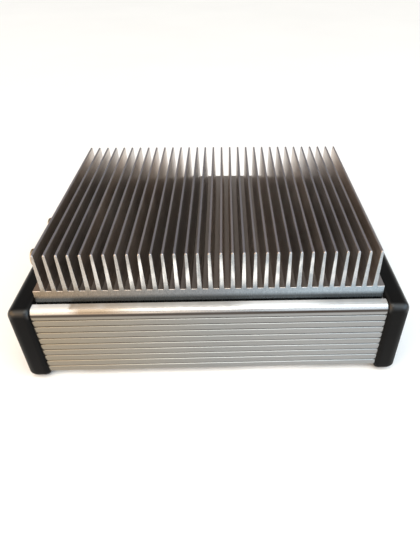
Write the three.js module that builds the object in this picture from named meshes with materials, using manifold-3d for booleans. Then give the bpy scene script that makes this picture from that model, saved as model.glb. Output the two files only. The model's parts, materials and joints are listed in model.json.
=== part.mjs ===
// Servo drive in a ribbed extruded instrument case, with a finned heat sink set into its open top.
//
// Millimetres, +Z up. +X runs along the case's long side, +Y from the front to the rear.
// z = 0 is the surface that the rubber feet stand on. The case is centred on the group's origin.
// Both ends are drawn pointing to +X, and the left end's group is turned half a turn about Z. The
// whole drive is then moved along X so that the origin is at the middle of the bounding box: the
// connectors reach out of the left end only.

import * as THREE from "three";
import { mergeVertices } from "three/addons/utils/BufferGeometryUtils.js";
import Module from "manifold-3d";

const wasm = await Module();
wasm.setup();

// ---------------------------------------------------------------- driving dimensions
const GAP = 0.3;                    // clearance kept between pieces that touch

const BODY_LENGTH = 200;            // aluminium extrusion
const BODY_DEPTH = 162.5;
const BODY_HEIGHT = 49;
const WALL = 2.2;
const FLOOR_THICKNESS = 2;
const TOP_RADIUS = 4;
const BOTTOM_RADIUS = 3;
const LIP_WIDTH = 7;                // lip along each edge of the open top
const LIP_THICKNESS = 2;
const GROOVES = 9;                  // fine V grooves along the front and rear faces
const GROOVE_PITCH = 4.55;
const GROOVE_WIDTH = 1.1;
const GROOVE_DEPTH = 0.75;
const TOP_GROOVE_DROP = 6.6;        // from the top of the body to the first groove

const LEDGE = 1;                    // how much further in the ledge under the plate reaches

const FACE_CROWN = 2.2;             // how far the bezels stand proud of the front and rear faces
const TOP_CROWN = 1.5;              // and of the lip and the underside
const BEZEL_WIDTH = 12.5;
const BEZEL_ROUND = { along: 5.3, inward: 4 };    // rounding of the bezel's outer end
const BEZEL_CORNER = 1;             // how much rounder the bezel's corners are than the extrusion's
const WINDOW = { halfY: 71, bar: 5, radius: 3 };

const PANEL_THICKNESS = 1.5;
const FOOT_HEIGHT = 2.5;
const FOOT_RADIUS = 6;
const FOOT_X = 86;
const FOOT_Y = 66;

const FINS = 31;
const FIN_PITCH = 6.16;
const FIN_HEIGHT = 23.6;
const FIN_ROOT = 2.4;               // fin thickness at the base and at the tip
const FIN_TIP = 1.4;
const FIN_FILLET = 0.5;
const SINK_LENGTH = 196;
const SINK_DEPTH = 146.5;
const SINK_ABOVE_LIP = 8.2;

const PLATE_THICKNESS = 1.6;        // slide-in plate that carries the heat sink
const BOARD_THICKNESS = 1.6;

const CONNECTOR_REACH = 19.5;       // circular connectors, beyond the left bezel
const CONNECTOR_Y = { motor: 9.15, encoder: 53.65 };

// ---------------------------------------------------------------- heights and planes
const BODY_Z = FOOT_HEIGHT;
const LIP_Z = BODY_Z + BODY_HEIGHT;
const FLOOR_Z = BODY_Z + FLOOR_THICKNESS;
const HALF_LENGTH = BODY_LENGTH / 2;
const HALF_DEPTH = BODY_DEPTH / 2;
const INNER_Y = HALF_DEPTH - WALL;
const BEZEL_START = HALF_LENGTH + GAP;
const BEZEL_FACE = HALF_LENGTH + BEZEL_WIDTH;
const PANEL_FACE = BEZEL_START + PANEL_THICKNESS;
const PANEL_INSET = 2;                            // of the end panels, from the extrusion's outline
const PANEL_Y = HALF_DEPTH - PANEL_INSET;
const PANEL_Z0 = BODY_Z + PANEL_INSET;
const PANEL_Z1 = LIP_Z - PANEL_INSET;
const PANEL_CORNER = 1.7;
const MID_Z = BODY_Z + BODY_HEIGHT / 2;

const SLOT_Z1 = LIP_Z - LIP_THICKNESS;            // slot for the slide-in plate
const SLOT_PLAY = 0.2;                            // under a plate or board that lies in a slot
const SLOT_Z0 = SLOT_Z1 - PLATE_THICKNESS - SLOT_PLAY - GAP;
const PLATE_Z0 = SLOT_Z0 + SLOT_PLAY;
const PLATE_Z1 = PLATE_Z0 + PLATE_THICKNESS;
const SINK_Z0 = SLOT_Z1;
const SINK_TOP = LIP_Z + SINK_ABOVE_LIP;
const FIN_TOP = SINK_TOP + FIN_HEIGHT;

const CARD_RIB = 1.2;                             // card slots inside the body
const CARD_SLOT = BOARD_THICKNESS + 2 * SLOT_PLAY;
const CARD_DEPTH = 2.7;
const CONTROL_SLOT_Z = 13.2;
const POWER_SLOT_Z = 31;
const CONTROL_Z0 = CONTROL_SLOT_Z + SLOT_PLAY;
const CONTROL_Z1 = CONTROL_Z0 + BOARD_THICKNESS;
const POWER_Z0 = POWER_SLOT_Z + SLOT_PLAY;
const POWER_Z1 = POWER_Z0 + BOARD_THICKNESS;
const BOARD_Y = INNER_Y - 0.45;                   // half width of a board in its slots

const BOSS_Y = 76;                                // screw bosses in the body's corners
const BOSS_Z = { bottom: BODY_Z + 5.25, top: LIP_Z - 10 };
const BOSS_RADIUS = 3.5;
const SCREW_RADIUS = 1.5;
const SCREW_HOLE = SCREW_RADIUS + 0.4;
const HEAD_RADIUS = 3.1;
const HEAD_HEIGHT = 2.3;
const HEAD_SEAT = BEZEL_FACE - 6;
const COUNTERBORE = HEAD_RADIUS + 0.4;

const PAD_THICKNESS = 0.5;                        // power modules under the heat sink
const PAD_Z1 = SINK_Z0 - GAP;
const PAD_Z0 = PAD_Z1 - PAD_THICKNESS;
const MODULE_TOP = PAD_Z0 - GAP;
const INVERTER = { x: -20, bodyHalf: 24, lugHalf: 32, halfY: 17, height: 12, lug: 4 };
const RECTIFIER = { x: 52, half: 14, height: 8 };
const M4_RADIUS = 1.8;
const M4_HOLE = M4_RADIUS + GAP;
const M4_HOLE_DEPTH = 8.5;                        // blind holes in the heat sink's base
const M4_REACH = 7.5;
const SINK_SCREW = { x: 88, y: 62 };
const THROUGH = 1;                                // how far a cutting tool runs past a face

// ---------------------------------------------------------------- materials
function finish(color, roughness, metalness) {
  return new THREE.MeshStandardMaterial({ color, roughness, metalness });
}

const anodised = finish(0xb9b6b0, 0.38, 0.9);
const bareAluminium = finish(0x9a9894, 0.35, 1);
const blackPlastic = finish(0x141416, 0.5, 0);
const panelAluminium = finish(0xa9a8a5, 0.45, 0.9);
const goldPlate = finish(0x8a6a3c, 0.35, 1);
const brass = finish(0xb08a4a, 0.3, 1);
const steel = finish(0x8d8d90, 0.3, 1);
const rubber = finish(0x1b1b1b, 0.9, 0);
const boardGreen = finish(0x1f5a35, 0.5, 0);
const moduleBlack = finish(0x202022, 0.6, 0);
const padGrey = finish(0x9aa3a8, 0.8, 0);
const capacitorSleeve = finish(0x2a3550, 0.4, 0);
const ferrite = finish(0x3a3f3a, 0.7, 0);
const lensGreen = finish(0x2fae55, 0.2, 0);
const lensRed = finish(0xc23a2e, 0.2, 0);
const redPlastic = finish(0xa3231c, 0.35, 0);
const insulator = finish(0x25262a, 0.55, 0);

// ---------------------------------------------------------------- geometry helpers
const ALONG_X = new THREE.Matrix4().makeBasis(
  new THREE.Vector3(0, 1, 0), new THREE.Vector3(0, 0, 1), new THREE.Vector3(1, 0, 0));
const ALONG_Y = new THREE.Matrix4().makeBasis(
  new THREE.Vector3(1, 0, 0), new THREE.Vector3(0, 0, 1), new THREE.Vector3(0, -1, 0));

// A closed manifold-3d solid of a three.js geometry.
function solid(geometry) {
  const bare = geometry.clone();
  bare.deleteAttribute("normal");
  bare.deleteAttribute("uv");
  const merged = mergeVertices(bare, 1e-4);
  return new wasm.Manifold(new wasm.Mesh({
    numProp: 3,
    vertProperties: new Float32Array(merged.attributes.position.array),
    triVerts: new Uint32Array(merged.index.array),
  }));
}

// The three.js geometry of a manifold-3d solid.
function geometryOf(manifold) {
  const mesh = manifold.getMesh();
  const geometry = new THREE.BufferGeometry();
  geometry.setAttribute("position", new THREE.BufferAttribute(mesh.vertProperties, 3));
  geometry.setIndex(new THREE.BufferAttribute(mesh.triVerts, 1));
  return geometry;
}

function join(first, ...others) {
  return geometryOf(others.reduce((sum, other) => sum.add(solid(other)), solid(first)));
}

function cut(first, ...tools) {
  return geometryOf(tools.reduce((rest, tool) => rest.subtract(solid(tool)), solid(first)));
}

function box(x0, x1, y0, y1, z0, z1) {
  const geometry = new THREE.BoxGeometry(x1 - x0, y1 - y0, z1 - z0);
  return geometry.translate((x0 + x1) / 2, (y0 + y1) / 2, (z0 + z1) / 2);
}

function shapeOf(points) {
  return new THREE.Shape(points.map(([u, v]) => new THREE.Vector2(u, v)));
}

// Points on an arc about (u, v), from one angle to another in degrees, both ends included.
function arcPoints(u, v, radius, from, to, steps) {
  const points = [];
  for (let i = 0; i <= steps; i += 1) {
    const angle = THREE.MathUtils.degToRad(from + ((to - from) * i) / steps);
    points.push([u + radius * Math.cos(angle), v + radius * Math.sin(angle)]);
  }
  return points;
}

function circle(u, v, radius, sides = 12) {
  return shapeOf(arcPoints(u, v, radius, 0, 360 - 360 / sides, sides - 1));
}

function roundedRectangle(u0, u1, v0, v1, radius, steps = 2) {
  return shapeOf([
    ...arcPoints(u1 - radius, v0 + radius, radius, -90, 0, steps),
    ...arcPoints(u1 - radius, v1 - radius, radius, 0, 90, steps),
    ...arcPoints(u0 + radius, v1 - radius, radius, 90, 180, steps),
    ...arcPoints(u0 + radius, v0 + radius, radius, 180, 270, steps),
  ]);
}

function extrude(shape, depth) {
  return new THREE.ExtrudeGeometry(shape, { depth, bevelEnabled: false });
}

// A shape drawn in (y, z) and extruded from x0 to x1.
function extrudeX(shape, x0, x1) {
  return extrude(shape, x1 - x0).applyMatrix4(ALONG_X).translate(x0, 0, 0);
}

// A shape drawn in (x, z) and extruded from y0 to y1.
function extrudeY(shape, y0, y1) {
  return extrude(shape, y1 - y0).applyMatrix4(ALONG_Y).translate(0, y1, 0);
}

// A shape drawn in (x, y) and extruded from z0 to z1.
function extrudeZ(shape, z0, z1) {
  return extrude(shape, z1 - z0).translate(0, 0, z0);
}

// A turned shape about the X or Z axis. Its profile is [radius, distance along the axis].
function turn(profile, segments) {
  return new THREE.LatheGeometry(profile.map(([r, along]) => new THREE.Vector2(r, along)), segments);
}

function turnX(profile, segments) {
  return turn(profile, segments).rotateZ(-Math.PI / 2);
}

function turnZ(profile, segments) {
  return turn(profile, segments).rotateX(Math.PI / 2);
}

function rodX(radius, x0, x1, y, z, segments) {
  return turnX([[0, x0], [radius, x0], [radius, x1], [0, x1]], segments).translate(0, y, z);
}

function rodZ(radius, z0, z1, x, y, segments) {
  return turnZ([[0, z0], [radius, z0], [radius, z1], [0, z1]], segments).translate(x, y, 0);
}

function hexagon(acrossFlats) {
  return circle(0, 0, acrossFlats / Math.sqrt(3), 6);
}

const drive = new THREE.Group();
drive.name = "servo_drive";

function subgroup(name) {
  const group = new THREE.Group();
  group.name = name;
  drive.add(group);
  return group;
}

const enclosure = subgroup("enclosure");
const leftEnd = subgroup("left_end");
leftEnd.rotation.z = Math.PI;
const rightEnd = subgroup("right_end");
const electronics = subgroup("electronics");

function add(group, name, geometry, material, x = 0, y = 0, z = 0) {
  const mesh = new THREE.Mesh(geometry, material);
  mesh.name = name;
  mesh.position.set(x, y, z);
  group.add(mesh);
  return mesh;
}

// ---------------------------------------------------------------- extruded body
function groovePoints() {
  const points = [];
  for (let i = GROOVES - 1; i >= 0; i -= 1) {
    const z = LIP_Z - TOP_GROOVE_DROP - i * GROOVE_PITCH;
    points.push([HALF_DEPTH, z - GROOVE_WIDTH / 2]);
    points.push([HALF_DEPTH - GROOVE_DEPTH, z]);
    points.push([HALF_DEPTH, z + GROOVE_WIDTH / 2]);
  }
  return points;
}

function cardSlotPoints(slotZ) {
  const ribY = INNER_Y - CARD_DEPTH;
  return [
    [INNER_Y, slotZ + CARD_SLOT + CARD_RIB],
    [ribY, slotZ + CARD_SLOT + CARD_RIB],
    [ribY, slotZ + CARD_SLOT],
    [INNER_Y, slotZ + CARD_SLOT],
    [INNER_Y, slotZ],
    [ribY, slotZ],
    [ribY, slotZ - CARD_RIB],
    [INNER_Y, slotZ - CARD_RIB],
  ];
}

// Half of the section, for y > 0, from the underside up the outer face and back down inside.
function bodyHalfSection() {
  const lipEnd = HALF_DEPTH - LIP_WIDTH;
  return [
    ...arcPoints(HALF_DEPTH - BOTTOM_RADIUS, BODY_Z + BOTTOM_RADIUS, BOTTOM_RADIUS, -90, 0, 4),
    ...groovePoints(),
    ...arcPoints(HALF_DEPTH - TOP_RADIUS, LIP_Z - TOP_RADIUS, TOP_RADIUS, 0, 90, 6),
    [lipEnd, LIP_Z],
    [lipEnd, SLOT_Z1],
    [INNER_Y, SLOT_Z1],
    [INNER_Y, SLOT_Z0],
    [lipEnd + LEDGE, SLOT_Z0],
    [lipEnd + LEDGE, SLOT_Z0 - CARD_RIB],
    [INNER_Y, SLOT_Z0 - CARD_RIB],
    ...cardSlotPoints(POWER_SLOT_Z),
    ...cardSlotPoints(CONTROL_SLOT_Z),
    [INNER_Y, FLOOR_Z],
  ];
}

// The places of the four end screws, which are the same at both ends.
function bossPlaces() {
  return [-BOSS_Y, BOSS_Y].flatMap((y) => Object.values(BOSS_Z).map((z) => [y, z]));
}

function buildBody() {
  const half = bodyHalfSection();
  const otherHalf = half.map(([y, z]) => [-y, z]).reverse();
  let body = solid(extrudeX(shapeOf([...half, ...otherHalf]), -HALF_LENGTH, HALF_LENGTH));
  for (const [y, z] of bossPlaces()) {
    body = body.add(solid(rodX(BOSS_RADIUS, -HALF_LENGTH, HALF_LENGTH, y, z, 16)));
    const hole = rodX(SCREW_HOLE, -HALF_LENGTH - THROUGH, HALF_LENGTH + THROUGH, y, z, 12);
    body = body.subtract(solid(hole));
  }
  add(enclosure, "case_extrusion", geometryOf(body), anodised);
}

// ---------------------------------------------------------------- heat sink and its plate
function finPoints(x) {
  const root = FIN_ROOT / 2;
  const tip = FIN_TIP / 2;
  return [
    [x - root - FIN_FILLET, SINK_TOP],
    [x - root, SINK_TOP + FIN_FILLET],
    ...arcPoints(x, FIN_TOP - tip, tip, 180, 0, 4),
    [x + root, SINK_TOP + FIN_FILLET],
    [x + root + FIN_FILLET, SINK_TOP],
  ];
}

function buildHeatSink() {
  const half = SINK_LENGTH / 2;
  const points = [[-half, SINK_Z0], [-half, SINK_TOP]];
  for (let i = 0; i < FINS; i += 1) {
    points.push(...finPoints((i - (FINS - 1) / 2) * FIN_PITCH));
  }
  points.push([half, SINK_TOP], [half, SINK_Z0]);
  let sink = solid(extrudeY(shapeOf(points.reverse()), -SINK_DEPTH / 2, SINK_DEPTH / 2));
  for (const [x, y] of [...sinkScrewPlaces(), ...moduleScrewPlaces()]) {
    const hole = rodZ(M4_HOLE, SINK_Z0 - THROUGH, SINK_Z0 + M4_HOLE_DEPTH, x, y, 12);
    sink = sink.subtract(solid(hole));
  }
  add(enclosure, "heat_sink", geometryOf(sink), bareAluminium);
}

function sinkScrewPlaces() {
  const { x, y } = SINK_SCREW;
  return [[-x, -y], [x, -y], [-x, y], [x, y]];
}

function moduleScrewPlaces() {
  const reach = (INVERTER.bodyHalf + INVERTER.lugHalf) / 2;
  return [[INVERTER.x - reach, 0], [INVERTER.x + reach, 0], [RECTIFIER.x, 0]];
}

// The plate that slides in under the lips, with a window for the power modules.
function buildPlate() {
  const margin = 3;
  const windowX0 = INVERTER.x - INVERTER.lugHalf - margin;
  const windowX1 = RECTIFIER.x + RECTIFIER.half + margin;
  const windowY = INVERTER.halfY + margin;
  const halfX = HALF_LENGTH - GAP;
  const halfY = INNER_Y - GAP;
  const outline = roundedRectangle(-halfX, halfX, -halfY, halfY, 0.5);
  outline.holes.push(roundedRectangle(windowX0, windowX1, -windowY, windowY, margin));
  for (const [x, y] of sinkScrewPlaces()) {
    outline.holes.push(circle(x, y, M4_HOLE));
  }
  add(enclosure, "slide_in_plate", extrudeZ(outline, PLATE_Z0, PLATE_Z1), panelAluminium);
}

// A button-head M4 screw that points up from z = 0, with a hexagon recess in its head.
function upwardScrew(length) {
  const head = { radius: 3.5, height: 2.6, top: 0.62, rim: 0.9 };
  const recess = { acrossFlats: 2.5, depth: 1.5 };
  const point = { length: 0.8, taper: 0.6 };
  const screw = turnZ([
    [0, -head.height], [head.radius * head.top, -head.height], [head.radius, -head.rim],
    [head.radius, 0], [M4_RADIUS, 0], [M4_RADIUS, length - point.length],
    [M4_RADIUS - point.taper, length], [0, length],
  ], 12);
  const key = hexagon(recess.acrossFlats);
  return cut(screw, extrudeZ(key, -head.height - THROUGH, recess.depth - head.height));
}

function buildSinkScrews() {
  const names = ["left_front", "right_front", "left_rear", "right_rear"];
  const seat = PLATE_Z0 - GAP;
  const screw = upwardScrew(SINK_Z0 + M4_REACH - seat);
  sinkScrewPlaces().forEach(([x, y], i) => {
    add(enclosure, `heat_sink_screw_${names[i]}`, screw, steel, x, y, seat);
  });
}

// ---------------------------------------------------------------- bezels
// One ring of the bezel's outside. It stands proud of the extrusion by a share of the crown, less
// the given inset.
function bezelRing(x, share, inset = 0) {
  const y = HALF_DEPTH + FACE_CROWN * share - inset;
  const z0 = BODY_Z - TOP_CROWN * share + inset;
  const z1 = LIP_Z + TOP_CROWN * share - inset;
  const bottom = Math.max(BOTTOM_RADIUS + BEZEL_CORNER * share - inset, 0.5);
  const top = TOP_RADIUS + BEZEL_CORNER * share - inset;
  return [
    ...arcPoints(y - bottom, z0 + bottom, bottom, -90, 0, 4),
    ...arcPoints(y - top, z1 - top, top, 0, 90, 5),
    ...arcPoints(-y + top, z1 - top, top, 90, 180, 5),
    ...arcPoints(-y + bottom, z0 + bottom, bottom, 180, 270, 4),
  ].map(([ringY, ringZ]) => new THREE.Vector3(x, ringY, ringZ));
}

// A closed solid through rings of equal length, given in order along +X.
function loft(rings) {
  const count = rings[0].length;
  const vertices = rings.flat();
  const firstCentre = vertices.length;
  const mean = (ring) => ring.reduce((sum, p) => sum.add(p), new THREE.Vector3()).divideScalar(count);
  vertices.push(mean(rings[0]), mean(rings[rings.length - 1]));
  const index = [];
  for (let i = 0; i < count; i += 1) {
    const next = (i + 1) % count;
    for (let ring = 0; ring + 1 < rings.length; ring += 1) {
      const a = ring * count;
      const b = a + count;
      index.push(a + i, a + next, b + next, a + i, b + next, b + i);
    }
    const last = (rings.length - 1) * count;
    index.push(firstCentre, next, i, firstCentre + 1, last + i, last + next);
  }
  const geometry = new THREE.BufferGeometry().setFromPoints(vertices);
  geometry.setIndex(index);
  return geometry;
}

// The crown rises from the extrusion's outline, and the outer end is a quarter ellipse.
function bezelSections() {
  const crown = [[0, 0.25], [0.7, 0.7], [1.7, 0.92], [2.9, 1]];
  const rings = crown.map(([along, share]) => bezelRing(BEZEL_START + along, share));
  const roundStart = BEZEL_FACE - BEZEL_ROUND.along;
  const steps = 5;
  for (let i = 0; i <= steps; i += 1) {
    const angle = (i / steps) * (Math.PI / 2);
    const inset = BEZEL_ROUND.inward * (1 - Math.cos(angle));
    rings.push(bezelRing(roundStart + BEZEL_ROUND.along * Math.sin(angle), 1, inset));
  }
  return rings;
}

function bezelGeometry() {
  let bezel = solid(loft(bezelSections()));
  const rebate = roundedRectangle(-PANEL_Y - GAP, PANEL_Y + GAP, PANEL_Z0 - GAP, PANEL_Z1 + GAP, 2);
  bezel = bezel.subtract(solid(extrudeX(rebate, BEZEL_START - THROUGH, PANEL_FACE + GAP)));
  const { halfY, bar, radius } = WINDOW;
  const opening = roundedRectangle(-halfY, halfY, BODY_Z + bar, LIP_Z - bar, radius);
  bezel = bezel.subtract(solid(extrudeX(opening, BEZEL_START, BEZEL_FACE + THROUGH)));
  for (const [y, z] of bossPlaces()) {
    const shank = rodX(SCREW_HOLE, BEZEL_START - THROUGH, BEZEL_FACE + THROUGH, y, z, 12);
    const counterbore = rodX(COUNTERBORE, HEAD_SEAT, BEZEL_FACE + THROUGH, y, z, 16);
    bezel = bezel.subtract(solid(shank)).subtract(solid(counterbore));
  }
  return geometryOf(bezel);
}

// A pan-head screw that points to -X from under its head at x = 0, with a cross recess.
function endScrew() {
  const length = HEAD_SEAT + GAP - HALF_LENGTH + 9;
  const point = { length: 2, taper: 0.8 };
  const recess = { arm: 1.7, half: 0.45, depth: 1.3 };
  const screw = turnX([
    [0, -length], [SCREW_RADIUS - point.taper, -length], [SCREW_RADIUS, point.length - length],
    [SCREW_RADIUS, 0], [HEAD_RADIUS, 0], [HEAD_RADIUS, HEAD_HEIGHT - 1],
    [HEAD_RADIUS * 0.7, HEAD_HEIGHT - 0.2], [0, HEAD_HEIGHT],
  ], 12);
  const { arm, half, depth } = recess;
  const bottom = HEAD_HEIGHT - depth;
  const above = HEAD_HEIGHT + THROUGH;
  return cut(screw, box(bottom, above, -arm, arm, -half, half), box(bottom, above, -half, half, -arm, arm));
}

// The bezel, the panel outline and the four screws are the same at both ends.
function buildEnd(group, end) {
  add(group, `bezel_${end}`, bezelGeometry(), blackPlastic);
  const frontSign = end === "left" ? 1 : -1;
  const screw = endScrew();
  for (const [side, y] of [["front", frontSign * BOSS_Y], ["rear", -frontSign * BOSS_Y]]) {
    for (const [level, z] of Object.entries(BOSS_Z)) {
      add(group, `end_screw_${end}_${side}_${level}`, screw, steel, HEAD_SEAT + GAP, y, z);
    }
  }
}

function panelOutline() {
  const outline = roundedRectangle(-PANEL_Y, PANEL_Y, PANEL_Z0, PANEL_Z1, PANEL_CORNER);
  for (const [y, z] of bossPlaces()) {
    outline.holes.push(circle(y, z, SCREW_HOLE));
  }
  return outline;
}

// ---------------------------------------------------------------- feet
function buildFeet() {
  const top = FOOT_HEIGHT - GAP;
  const foot = turnZ([[0, 0], [FOOT_RADIUS - 1.3, 0], [FOOT_RADIUS - 0.6, 0.5], [FOOT_RADIUS, top],
    [0, top]], 16);
  for (const [end, x] of [["left", -FOOT_X], ["right", FOOT_X]]) {
    for (const [side, y] of [["front", -FOOT_Y], ["rear", FOOT_Y]]) {
      add(enclosure, `rubber_foot_${side}_${end}`, foot, rubber, x, y);
    }
  }
}

// ---------------------------------------------------------------- left end: connectors, earth
const CONNECTOR = {
  ring: 6.6, ringLength: 12, collar: 6.4, flutes: 14, fluteDepth: 0.5,
  barrel: 5.8, bore: 4.9, thread: 5.8, flange: 10, flangeThickness: 3, recess: 7, back: 10,
};
const CONTACTS = {
  motor: { rings: [[4, 2.5]], radius: 1, sides: 10 },
  encoder: { rings: [[3, 1.3], [9, 3.5]], radius: 0.5, sides: 6 },
};
const CONTACT_DEPTH = 5;
const CONNECTOR_NUT = { acrossFlats: 17, thickness: 3.5 };
const EARTH = { y: -52, radius: 2.4, reach: 8, head: 4.3, headHeight: 3.6, acrossFlats: 8, nut: 3.2 };

// The outline of the receptacle's grip ring, with shallow flutes around it.
function flutedCircle() {
  const { ring, flutes, fluteDepth } = CONNECTOR;
  const sides = flutes * 6;
  const points = [];
  for (let i = 0; i < sides; i += 1) {
    const angle = (i / sides) * 2 * Math.PI;
    const hollow = (0.5 + 0.5 * Math.cos(flutes * angle)) ** 2;
    const radius = ring - fluteDepth * hollow;
    points.push([radius * Math.cos(angle), radius * Math.sin(angle)]);
  }
  return shapeOf(points);
}

// A panel receptacle that points to +X, with a grip ring around its mouth.
function receptacleShell() {
  const { ringLength, collar, barrel, bore, thread, flange, flangeThickness, back } = CONNECTOR;
  const face = PANEL_FACE + GAP;
  const front = face + flangeThickness;
  const mouth = BEZEL_FACE + CONNECTOR_REACH;
  const ringStart = mouth - ringLength;
  const tail = HALF_LENGTH - back;
  const shell = turnX([
    [bore, tail], [thread, tail], [thread, face], [flange, face], [flange, front - 0.6],
    [flange - 0.6, front], [barrel, front], [barrel, ringStart], [collar, ringStart],
    [collar, mouth - 0.5], [collar - 0.5, mouth], [bore + 0.4, mouth], [bore, mouth - 0.4], [bore, tail],
  ], 24);
  const grip = flutedCircle();
  grip.holes.push(circle(0, 0, (bore + collar) / 2, 24));
  return join(shell, extrudeX(grip, ringStart + 0.8, mouth - 1.2));
}

function contactPlaces(kind) {
  return CONTACTS[kind].rings.flatMap(([count, reach]) => {
    const angles = Array.from({ length: count }, (_, i) => ((i + 0.5) / count) * 2 * Math.PI);
    return angles.map((angle) => [reach * Math.cos(angle), reach * Math.sin(angle)]);
  });
}

// The insulator, with a blind hole for each socket contact.
function receptacleInsert(kind) {
  const { bore, recess, back } = CONNECTOR;
  const radius = bore - GAP;
  const face = BEZEL_FACE + CONNECTOR_REACH - recess;
  const outline = circle(0, 0, radius, 24);
  for (const [y, z] of contactPlaces(kind)) {
    outline.holes.push(circle(y, z, CONTACTS[kind].radius, CONTACTS[kind].sides));
  }
  return join(
    extrudeX(outline, face - CONTACT_DEPTH, face),
    extrudeX(circle(0, 0, radius, 24), HALF_LENGTH - back - 1, face - CONTACT_DEPTH));
}

function ringNut(acrossFlats, hole, x0, x1, sides) {
  const nut = hexagon(acrossFlats);
  nut.holes.push(circle(0, 0, hole, sides));
  return extrudeX(nut, x0, x1);
}

function buildLeftEnd() {
  const panel = panelOutline();
  const threadHole = CONNECTOR.thread + GAP;
  const nut = ringNut(CONNECTOR_NUT.acrossFlats, threadHole,
    HALF_LENGTH - CONNECTOR_NUT.thickness, HALF_LENGTH, 20);
  for (const [kind, y] of Object.entries(CONNECTOR_Y)) {
    panel.holes.push(circle(-y, MID_Z, threadHole, 24));
    add(leftEnd, `${kind}_connector_shell`, receptacleShell(), goldPlate, 0, -y, MID_Z);
    add(leftEnd, `${kind}_connector_insert`, receptacleInsert(kind), insulator, 0, -y, MID_Z);
    add(leftEnd, `${kind}_connector_nut`, nut, steel, 0, -y, MID_Z);
  }
  panel.holes.push(circle(-EARTH.y, MID_Z, EARTH.radius + GAP));
  add(leftEnd, "end_panel_left", extrudeX(panel, BEZEL_START, PANEL_FACE), panelAluminium);

  const { radius, reach, head, headHeight, acrossFlats } = EARTH;
  const tip = PANEL_FACE + reach;
  const stud = turnX([
    [0, HALF_LENGTH - headHeight], [head, HALF_LENGTH - headHeight], [head, HALF_LENGTH],
    [radius, HALF_LENGTH], [radius, tip - 0.6], [radius - 0.6, tip], [0, tip],
  ], 16);
  add(leftEnd, "earth_stud", stud, brass, 0, -EARTH.y, MID_Z);
  const nutStart = PANEL_FACE + GAP;
  const earthNut = ringNut(acrossFlats, radius + GAP, nutStart, nutStart + EARTH.nut, 12);
  add(leftEnd, "earth_nut", earthNut, brass, 0, -EARTH.y, MID_Z);
}

// ---------------------------------------------------------------- right end
const NETWORK = {
  y: -58, halfY: 8, z0: CONTROL_Z1 + GAP, height: 13.3, depth: 16, proud: 0.5,
  cavity: { halfY: 5.9, z0: 3.9, z1: 11, depth: 12 }, latch: { halfY: 3, z0: 1.6, z1: 4, depth: 8 },
};
const IO = {
  y: -28, z: CONTROL_Z1 + 7.3, halfY: 12.4, halfZ: 3.9, slant: 1, flangeY: 19.5, flangeZ: 6.2,
  wall: 0.5, reach: 6, depth: 14, screwY: 16.65, screwHole: 1.7,
};
const IO_CONTACTS = { pitch: 2.76, radius: 0.6, rows: [[8, 1.42], [7, -1.42]], depth: 4 };
const JACKSCREW = { acrossFlats: 4.8, shank: 1.3, bore: 1, depth: 5 };
const BUTTON = { y: 2, z: 20, bore: 3, cap: 2.7, flange: 6, thread: 4, depth: 9, proud: 2.2, capProud: 4.5 };
const LED_RADIUS = 2.5;
const LEDS = [["status_led_ready", -4, lensGreen], ["status_led_fault", 8, lensRed]];
const LED_Z = 36;
const LED_LENGTH = 8;
const SWITCH = {
  y: 24, halfY: 6.5, halfZ: 10, rimY: 1.2, rimZ: 1.5, proud: 1.8, depth: 16,
  wellY: 4.8, wellZ: 9.2, wellDepth: 12, pivotX: 100.6, pin: 1,
};
const ROCKER_TILT = -10;            // degrees about +Y: the rocker rests in its off position
const INLET = {
  y: 53, z: 28, halfY: 13.5, halfZ: 10, rim: 2, proud: 2.6, depth: 18,
  cavityY: 12, cavityZ: 8, cavityDepth: 16.5, chamfer: 4, bladeRecess: 5.5,
};

function buildNetworkSocket() {
  const face = PANEL_FACE + NETWORK.proud;
  const { y, halfY, z0, height, depth, cavity, latch } = NETWORK;
  const block = box(face - depth, face, -halfY, halfY, 0, height);
  const opening = (hole) => box(face - hole.depth, face + THROUGH, -hole.halfY, hole.halfY, hole.z0, hole.z1);
  add(rightEnd, "network_socket", cut(block, opening(cavity), opening(latch)), steel, 0, y, z0);
}

// A D-shaped outline, grown outwards by the given amount.
function dShape(grow = 0) {
  const y = IO.halfY + grow;
  const z = IO.halfZ + grow;
  return shapeOf([[-y, z], [-y + IO.slant, -z], [y - IO.slant, -z], [y, z]]);
}

function buildIoSocket() {
  const face = PANEL_FACE + GAP;
  const flange = roundedRectangle(-IO.flangeY, IO.flangeY, -IO.flangeZ, IO.flangeZ, 1.5);
  flange.holes.push(dShape(GAP));
  for (const side of [-1, 1]) {
    flange.holes.push(circle(side * IO.screwY, 0, IO.screwHole));
  }
  const shroud = dShape(GAP + IO.wall);
  shroud.holes.push(dShape(GAP));
  const shell = join(extrudeX(flange, face, face + 1), extrudeX(shroud, face + 0.9, face + IO.reach));
  add(rightEnd, "io_socket_shell", shell, steel, 0, IO.y, IO.z);

  const { pitch, radius, rows, depth } = IO_CONTACTS;
  const contacts = dShape();
  for (const [count, z] of rows) {
    for (let i = 0; i < count; i += 1) {
      contacts.holes.push(circle((i - (count - 1) / 2) * pitch, z, radius, 6));
    }
  }
  const front = face + IO.reach - 0.2;
  const insert = join(
    extrudeX(contacts, front - depth, front),
    extrudeX(dShape(), face - IO.depth, front - depth));
  add(rightEnd, "io_socket_insert", insert, insulator, 0, IO.y, IO.z);
  buildJackscrews(face + 1 + GAP, face + IO.reach);
}

// Hexagon posts that stand on the socket's flange.
function buildJackscrews(seat, top) {
  const { acrossFlats, shank, bore, depth } = JACKSCREW;
  const post = join(
    extrudeX(hexagon(acrossFlats), seat, top),
    rodX(shank, seat - depth - 1, seat + 0.1, 0, 0, 10));
  const screw = cut(post, rodX(bore, top - 4, top + THROUGH, 0, 0, 10));
  add(rightEnd, "io_jackscrew_front", screw, steel, 0, IO.y - IO.screwY, IO.z);
  add(rightEnd, "io_jackscrew_rear", screw, steel, 0, IO.y + IO.screwY, IO.z);
}

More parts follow.
